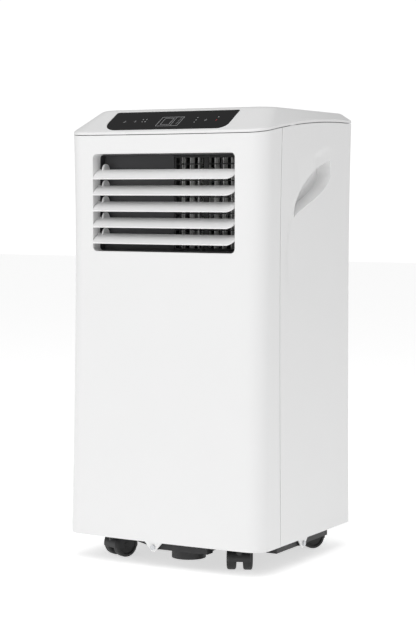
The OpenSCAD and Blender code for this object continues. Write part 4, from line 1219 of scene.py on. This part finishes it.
@dataclass
class LouvreBlade:
    """One level blade of the louvre, with its pins, its crank ear and its crank pin."""

    number: int
    chord: float = 23.5
    tilt: float = 34.0
    thickness: float = 2.4
    bulge: float = 1.6
    corner_r: float = 14.0
    pivot_r: float = 2.0
    pin_stub: float = 1.8
    ear_r: float = 9.5
    ear_t: float = 3.0
    crank: float = 10.0
    crank_turn: float = -20.0
    crank_pin_r: float = 1.5
    pitch: float = 24.8
    first_drop: float = 25.0
    end_gap: float = 1.2
    pivot_back: float = 4.0
    ear_inset: float = 8.0
    pin_gap: float = 1.8
    pin_length: float = 5.6

    def __post_init__(self) -> None:
        """Takes the blade's pivot and length from the bezel."""
        low, high = mm_box("outlet_bezel")
        self.opening = high.x - BEZEL_WALL
        self.bezel_half = high.x
        self.half = self.opening - self.end_gap
        level = high.z - BEZEL_WALL - self.first_drop - (self.number - 1) * self.pitch
        self.pivot = Vector((0, high.y - self.pivot_back, level))

    def leaf(self) -> bmesh.types.BMesh:
        """Builds the blade's middle surface, bulged and with one rounded front corner."""
        bm = bmesh.new()
        front = self.chord + 0.7
        add_sheet(bm, 2 * self.half, front, [0.6, self.corner_r, 0.6, 0.6])
        bmesh.ops.translate(bm, verts=bm.verts[:], vec=(0, front / 2, 0))
        for vert in bm.verts:
            vert.co.y = front - vert.co.y
        for cut in steps(0, front, 10)[1:-1]:
            bmesh.ops.bisect_plane(
                bm, geom=bm.verts[:] + bm.edges[:] + bm.faces[:], plane_co=(0, cut, 0), plane_no=(0, 1, 0)
            )
        for vert in bm.verts:
            vert.co.z = -self.bulge * math.sin(math.pi * vert.co.y / front)
        turn = Matrix.Rotation(math.radians(180 + self.tilt), 4, "X")
        bmesh.ops.transform(bm, matrix=Matrix.Translation(self.pivot) @ turn, verts=bm.verts[:])
        return bm

    def fittings(self) -> bmesh.types.BMesh:
        """Builds the pins, the ear and the crank pin."""
        bm = bmesh.new()
        reach = self.bezel_half - 0.5 - (self.half - self.pin_stub)
        for side in (-1, 1):
            x = side * (self.half - self.pin_stub + reach / 2)
            add_rod(bm, "X", self.pivot_r, (x, self.pivot.y, self.pivot.z), reach, 24)
        ear_x = -self.opening + self.ear_inset
        middle = (ear_x + self.ear_t / 2, self.pivot.y + self.ear_r * 0.53, self.pivot.z + self.ear_r * 0.03)
        add_rod(bm, "X", self.ear_r, middle, self.ear_t, 40)
        turn = math.radians(self.crank_turn)
        across, up = self.crank * math.cos(turn), self.crank * math.sin(turn)
        pin = (ear_x - self.pin_gap, self.pivot.y + across, self.pivot.z + up)
        add_rod(bm, "X", self.crank_pin_r, pin, self.pin_length, 20)
        return bm

    def build(self) -> None:
        """Builds the blade and its fittings, which ride together."""
        body, node = f"louvre_{self.number}", f"louvre_blade_{self.number}"
        make_piece(
            self.leaf(), f"louvre_leaf_{self.number}", SHELL_WHITE, "shell_white", body, [node],
            Edging(self.thickness, 0.75, even=False, side=0.0, angle=50),
        )
        make_piece(
            self.fittings(), f"louvre_fittings_{self.number}", SHELL_WHITE, "shell_white", body,
            edging=Edging(radius=0.4, segments=2, angle=50),
        )


# ---- Casters ----------------------------------------------------------------


@dataclass
class Caster:
    """A hooded twin-wheel caster, drawn with its wheels trailing towards +Y and then turned."""

    name: str
    stem: Vector
    heading: float
    wheel_r: float = 19.5
    wheel_w: float = 14.0
    gap: float = 11.0
    trail: float = 13.0
    hood_r: float = 21.7
    hood_t: float = 1.8
    hood_drop: float = 4.0
    stem_r: float = 5.0
    boss_r: float = 8.0
    boss_h: float = 16.0
    boss_z: float = 25.5
    shoulder: Sequence = ((0, 3.2), (0.5, 1.5), (1.6, 0.35), (3.2, 0))

    def place(self, bm: bmesh.types.BMesh) -> bmesh.types.BMesh:
        """Moves a mesh from the caster's own frame to its stem."""
        matrix = Matrix.Translation(self.stem) @ Matrix.Rotation(math.radians(self.heading), 4, "Z")
        bmesh.ops.transform(bm, matrix=matrix, verts=bm.verts[:])
        return bm

    def axle(self) -> Vector:
        """Gives the middle of the axle in the caster's own frame."""
        return Vector((0, self.trail, self.wheel_r))

    def trim(self, bm: bmesh.types.BMesh) -> None:
        """Cuts off what lies below the hood's edge."""
        bmesh.ops.bisect_plane(
            bm, geom=bm.verts[:] + bm.edges[:] + bm.faces[:], plane_co=(0, 0, self.wheel_r - self.hood_drop),
            plane_no=(0, 0, -1), clear_outer=True,
        )

    def hood(self) -> bmesh.types.BMesh:
        """Builds the hood's skin over both wheels."""
        bm = bmesh.new()
        half = self.gap / 2 + self.wheel_w - 1.5
        add_rod(bm, "X", self.hood_r, self.axle(), 2 * half, 56)
        rims = [edge for edge in bm.edges if edge.calc_face_angle(0) > 1]
        bmesh.ops.bevel(bm, geom=rims, offset=3.2, segments=5, profile=0.5, affect="EDGES", material=-1)
        self.trim(bm)
        return self.place(bm)

    def core(self) -> bmesh.types.BMesh:
        """Builds the web between the wheels and the stem above it."""
        bm = bmesh.new()
        web = self.gap / 2 - 0.4
        add_rod(bm, "X", self.hood_r - 1, self.axle(), 2 * web, 40)
        self.trim(bm)
        bmesh.ops.edgeloop_fill(bm, edges=[edge for edge in bm.edges if edge.is_boundary])
        _, high = mm_box(f"caster_{self.name}_fork")
        add_rod(bm, "Z", self.boss_r, (0, 0, self.boss_z + self.boss_h / 2), self.boss_h, 32)
        add_rod(bm, "Z", self.stem_r, (0, 0, (self.boss_z + high.z) / 2), high.z - self.boss_z, 32)
        return self.place(bm)

    def wheel(self, side: int) -> bmesh.types.BMesh:
        """Builds one wheel by spinning its section round the axle."""
        bm = bmesh.new()
        inner, outer = self.gap / 2, self.gap / 2 + self.wheel_w
        r = self.wheel_r
        rise = [(inner + across, r - drop) for across, drop in self.shoulder]
        fall = [(outer - across, r - drop) for across, drop in reversed(self.shoulder)]
        dish = [(outer, r - 4.6), (outer - 1.8, r - 5.4), (outer - 1.8, 5.2), (outer - 0.8, 4.6), (outer - 0.8, 0.0)]
        section = [(inner, 3.0), *rise, *fall, *dish]
        verts = [bm.verts.new((side * x, self.trail, self.wheel_r + radius)) for x, radius in section]
        edges = [bm.edges.new(pair) for pair in zip(verts, verts[1:])]
        bmesh.ops.spin(
            bm, geom=verts + edges, cent=self.axle(), axis=(1, 0, 0), angle=math.tau, steps=48, use_merge=True
        )
        bmesh.ops.remove_doubles(bm, verts=bm.verts[:], dist=0.01)
        bmesh.ops.edgeloop_fill(bm, edges=[edge for edge in bm.edges if edge.is_boundary])
        return self.place(bm)

    def build(self) -> None:
        """Builds the hood, the web with its stem, and both wheels."""
        fork = f"caster_{self.name}"
        make_piece(
            self.hood(), f"{fork}_hood", CASTER_BLACK, "caster_black", fork, [f"{fork}_fork"],
            Edging(self.hood_t, 0.5, even=False),
        )
        make_piece(
            self.core(), f"{fork}_web", CASTER_BLACK, "caster_black", fork, edging=Edging(radius=0.6, segments=2))
        for side, hand in ((-1, "left"), (1, "right")):
            stood_for = [f"{fork}_wheels"] if side == 1 else []
            make_piece(
                self.wheel(side), f"{fork}_{hand}_wheel", TREAD_BLACK, "wheel_black", f"{fork}_roller", stood_for)


# ---- Studio -----------------------------------------------------------------


@dataclass
class Studio:
    """The pale floor, the soft lights and the camera."""

    camera_place: Vector = Vector((1340.8, -2431.14, 555.03))
    heading: float = 29.097
    pitch: float = 3.468
    roll: float = -0.292
    lens: float = 99.75
    sensor_height: float = 36.0
    ambient: float = 0.36
    backdrop: float = 1.05
    floor_glow: float = 0.62
    aim: Vector = Vector((0, 0, 0.36))

    def build_camera(self) -> None:
        """Places the camera."""
        data = bpy.data.cameras.new("camera")
        data.sensor_fit = "VERTICAL"
        data.sensor_height = self.sensor_height
        data.lens = self.lens
        data.clip_end = 60.0
        camera = bpy.data.objects.new("camera", data)
        turn = Matrix.Rotation(math.radians(self.heading), 4, "Z")
        tip = Matrix.Rotation(math.radians(90 - self.pitch), 4, "X")
        lean = Matrix.Rotation(math.radians(-self.roll), 4, "Z")
        camera.matrix_world = Matrix.Translation(self.camera_place * MM) @ turn @ tip @ lean
        bpy.context.scene.collection.objects.link(camera)
        bpy.context.scene.camera = camera

    def build_floor(self) -> None:
        """Lays the pale floor."""
        bm = bmesh.new()
        bmesh.ops.create_grid(bm, x_segments=8, y_segments=8, size=14000)
        floor = _linked(bm, "floor")
        paint = Paint("pale_floor")
        mottle = paint.noise(400.0)
        tone = paint.blend(mottle, (0.90, 0.90, 0.90), (0.92, 0.92, 0.92))
        material = paint.finish({
            "Base Color": tone, "Roughness": mottle * 0.05 + 0.8, "Emission Color": (1, 1, 1, 1),
            "Emission Strength": self.floor_glow,
        })
        floor.data.materials.append(material)

    def add_light(self, name: str, place: Sequence[float], size: float, power: float) -> None:
        """Adds a square soft light that faces the object."""
        data = bpy.data.lights.new(name, "AREA")
        data.size = size
        data.energy = power
        light = bpy.data.objects.new(name, data)
        spot = Vector(place)
        turn = (self.aim - spot).to_track_quat("-Z", "Y")
        light.matrix_world = Matrix.Translation(spot) @ turn.to_matrix().to_4x4()
        bpy.context.scene.collection.objects.link(light)

    def build_light(self) -> None:
        """Sets the even white surroundings and the soft lights."""
        world = bpy.data.worlds.new("studio")
        bpy.context.scene.world = world
        world.use_nodes = True
        nodes, links = world.node_tree.nodes, world.node_tree.links
        nodes.clear()
        path = nodes.new("ShaderNodeLightPath")
        level = nodes.new("ShaderNodeMapRange")
        level.inputs["To Min"].default_value = self.ambient
        level.inputs["To Max"].default_value = self.backdrop
        ground = nodes.new("ShaderNodeBackground")
        ground.inputs["Color"].default_value = (1, 1, 1, 1)
        output = nodes.new("ShaderNodeOutputWorld")
        links.new(path.outputs["Is Camera Ray"], level.inputs["Value"])
        links.new(level.outputs[0], ground.inputs["Strength"])
        links.new(ground.outputs[0], output.inputs[0])
        self.add_light("front_left_softbox", (-1.9, -2.6, 1.9), 2.2, 15)
        self.add_light("overhead_softbox", (0.6, -1.3, 2.9), 2.4, 34)
        bpy.context.scene.view_settings.view_transform = "Standard"

    def build(self) -> None:
        """Builds the studio."""
        self.build_camera()
        self.build_floor()
        self.build_light()


# ---- The whole object -------------------------------------------------------


def dress_frame() -> None:
    """Gives every CAD node the finish of its slot in the record."""
    for part in frame["record"]["subparts"]:
        node = frame["nodes"][part["node"]]
        WARDROBE.dress(node, SLOT_FINISHES[part["material_slot"]])
        log.info("%s: dressed as %s", node.name, part["material_slot"])


def housing_outline() -> Outline:
    """Takes the housing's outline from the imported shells."""
    front_low, front_high = mm_box("front_shell")
    rear_low, rear_high = mm_box("rear_shell")
    half_gap = 0.25
    return Outline(front=front_low.y, rear=rear_high.y, foot_half=front_high.x, seam_y=rear_low.y - half_gap)


def casters() -> list[Caster]:
    """Gives the four casters, each turned its own way on its stem."""
    side, front, rear = 113.0, -122.5, 94.5
    return [
        Caster("fl", Vector((-side, front, 0)), -24),
        Caster("fr", Vector((side, front, 0)), 25),
        Caster("rl", Vector((-side, rear, 0)), 20),
        Caster("rr", Vector((side, rear, 0)), -35),
    ]


def main() -> None:
    """Builds the whole object in its studio."""
    logging.basicConfig(level=logging.INFO, format="%(message)s")
    Studio().build()
    dress_frame()
    outline = housing_outline()
    lid = Lid(outline, mm_box("top_lid")[1].z)
    builders = [FrontShell(outline), RearShell(outline), lid, ControlPanel(lid)]
    builders += [LouvreBlade(number) for number in range(1, 6)]
    builders += casters()
    for builder in builders:
        log.info("building %s", type(builder).__name__)
        builder.build()


if __name__ == "__main__":
    main()
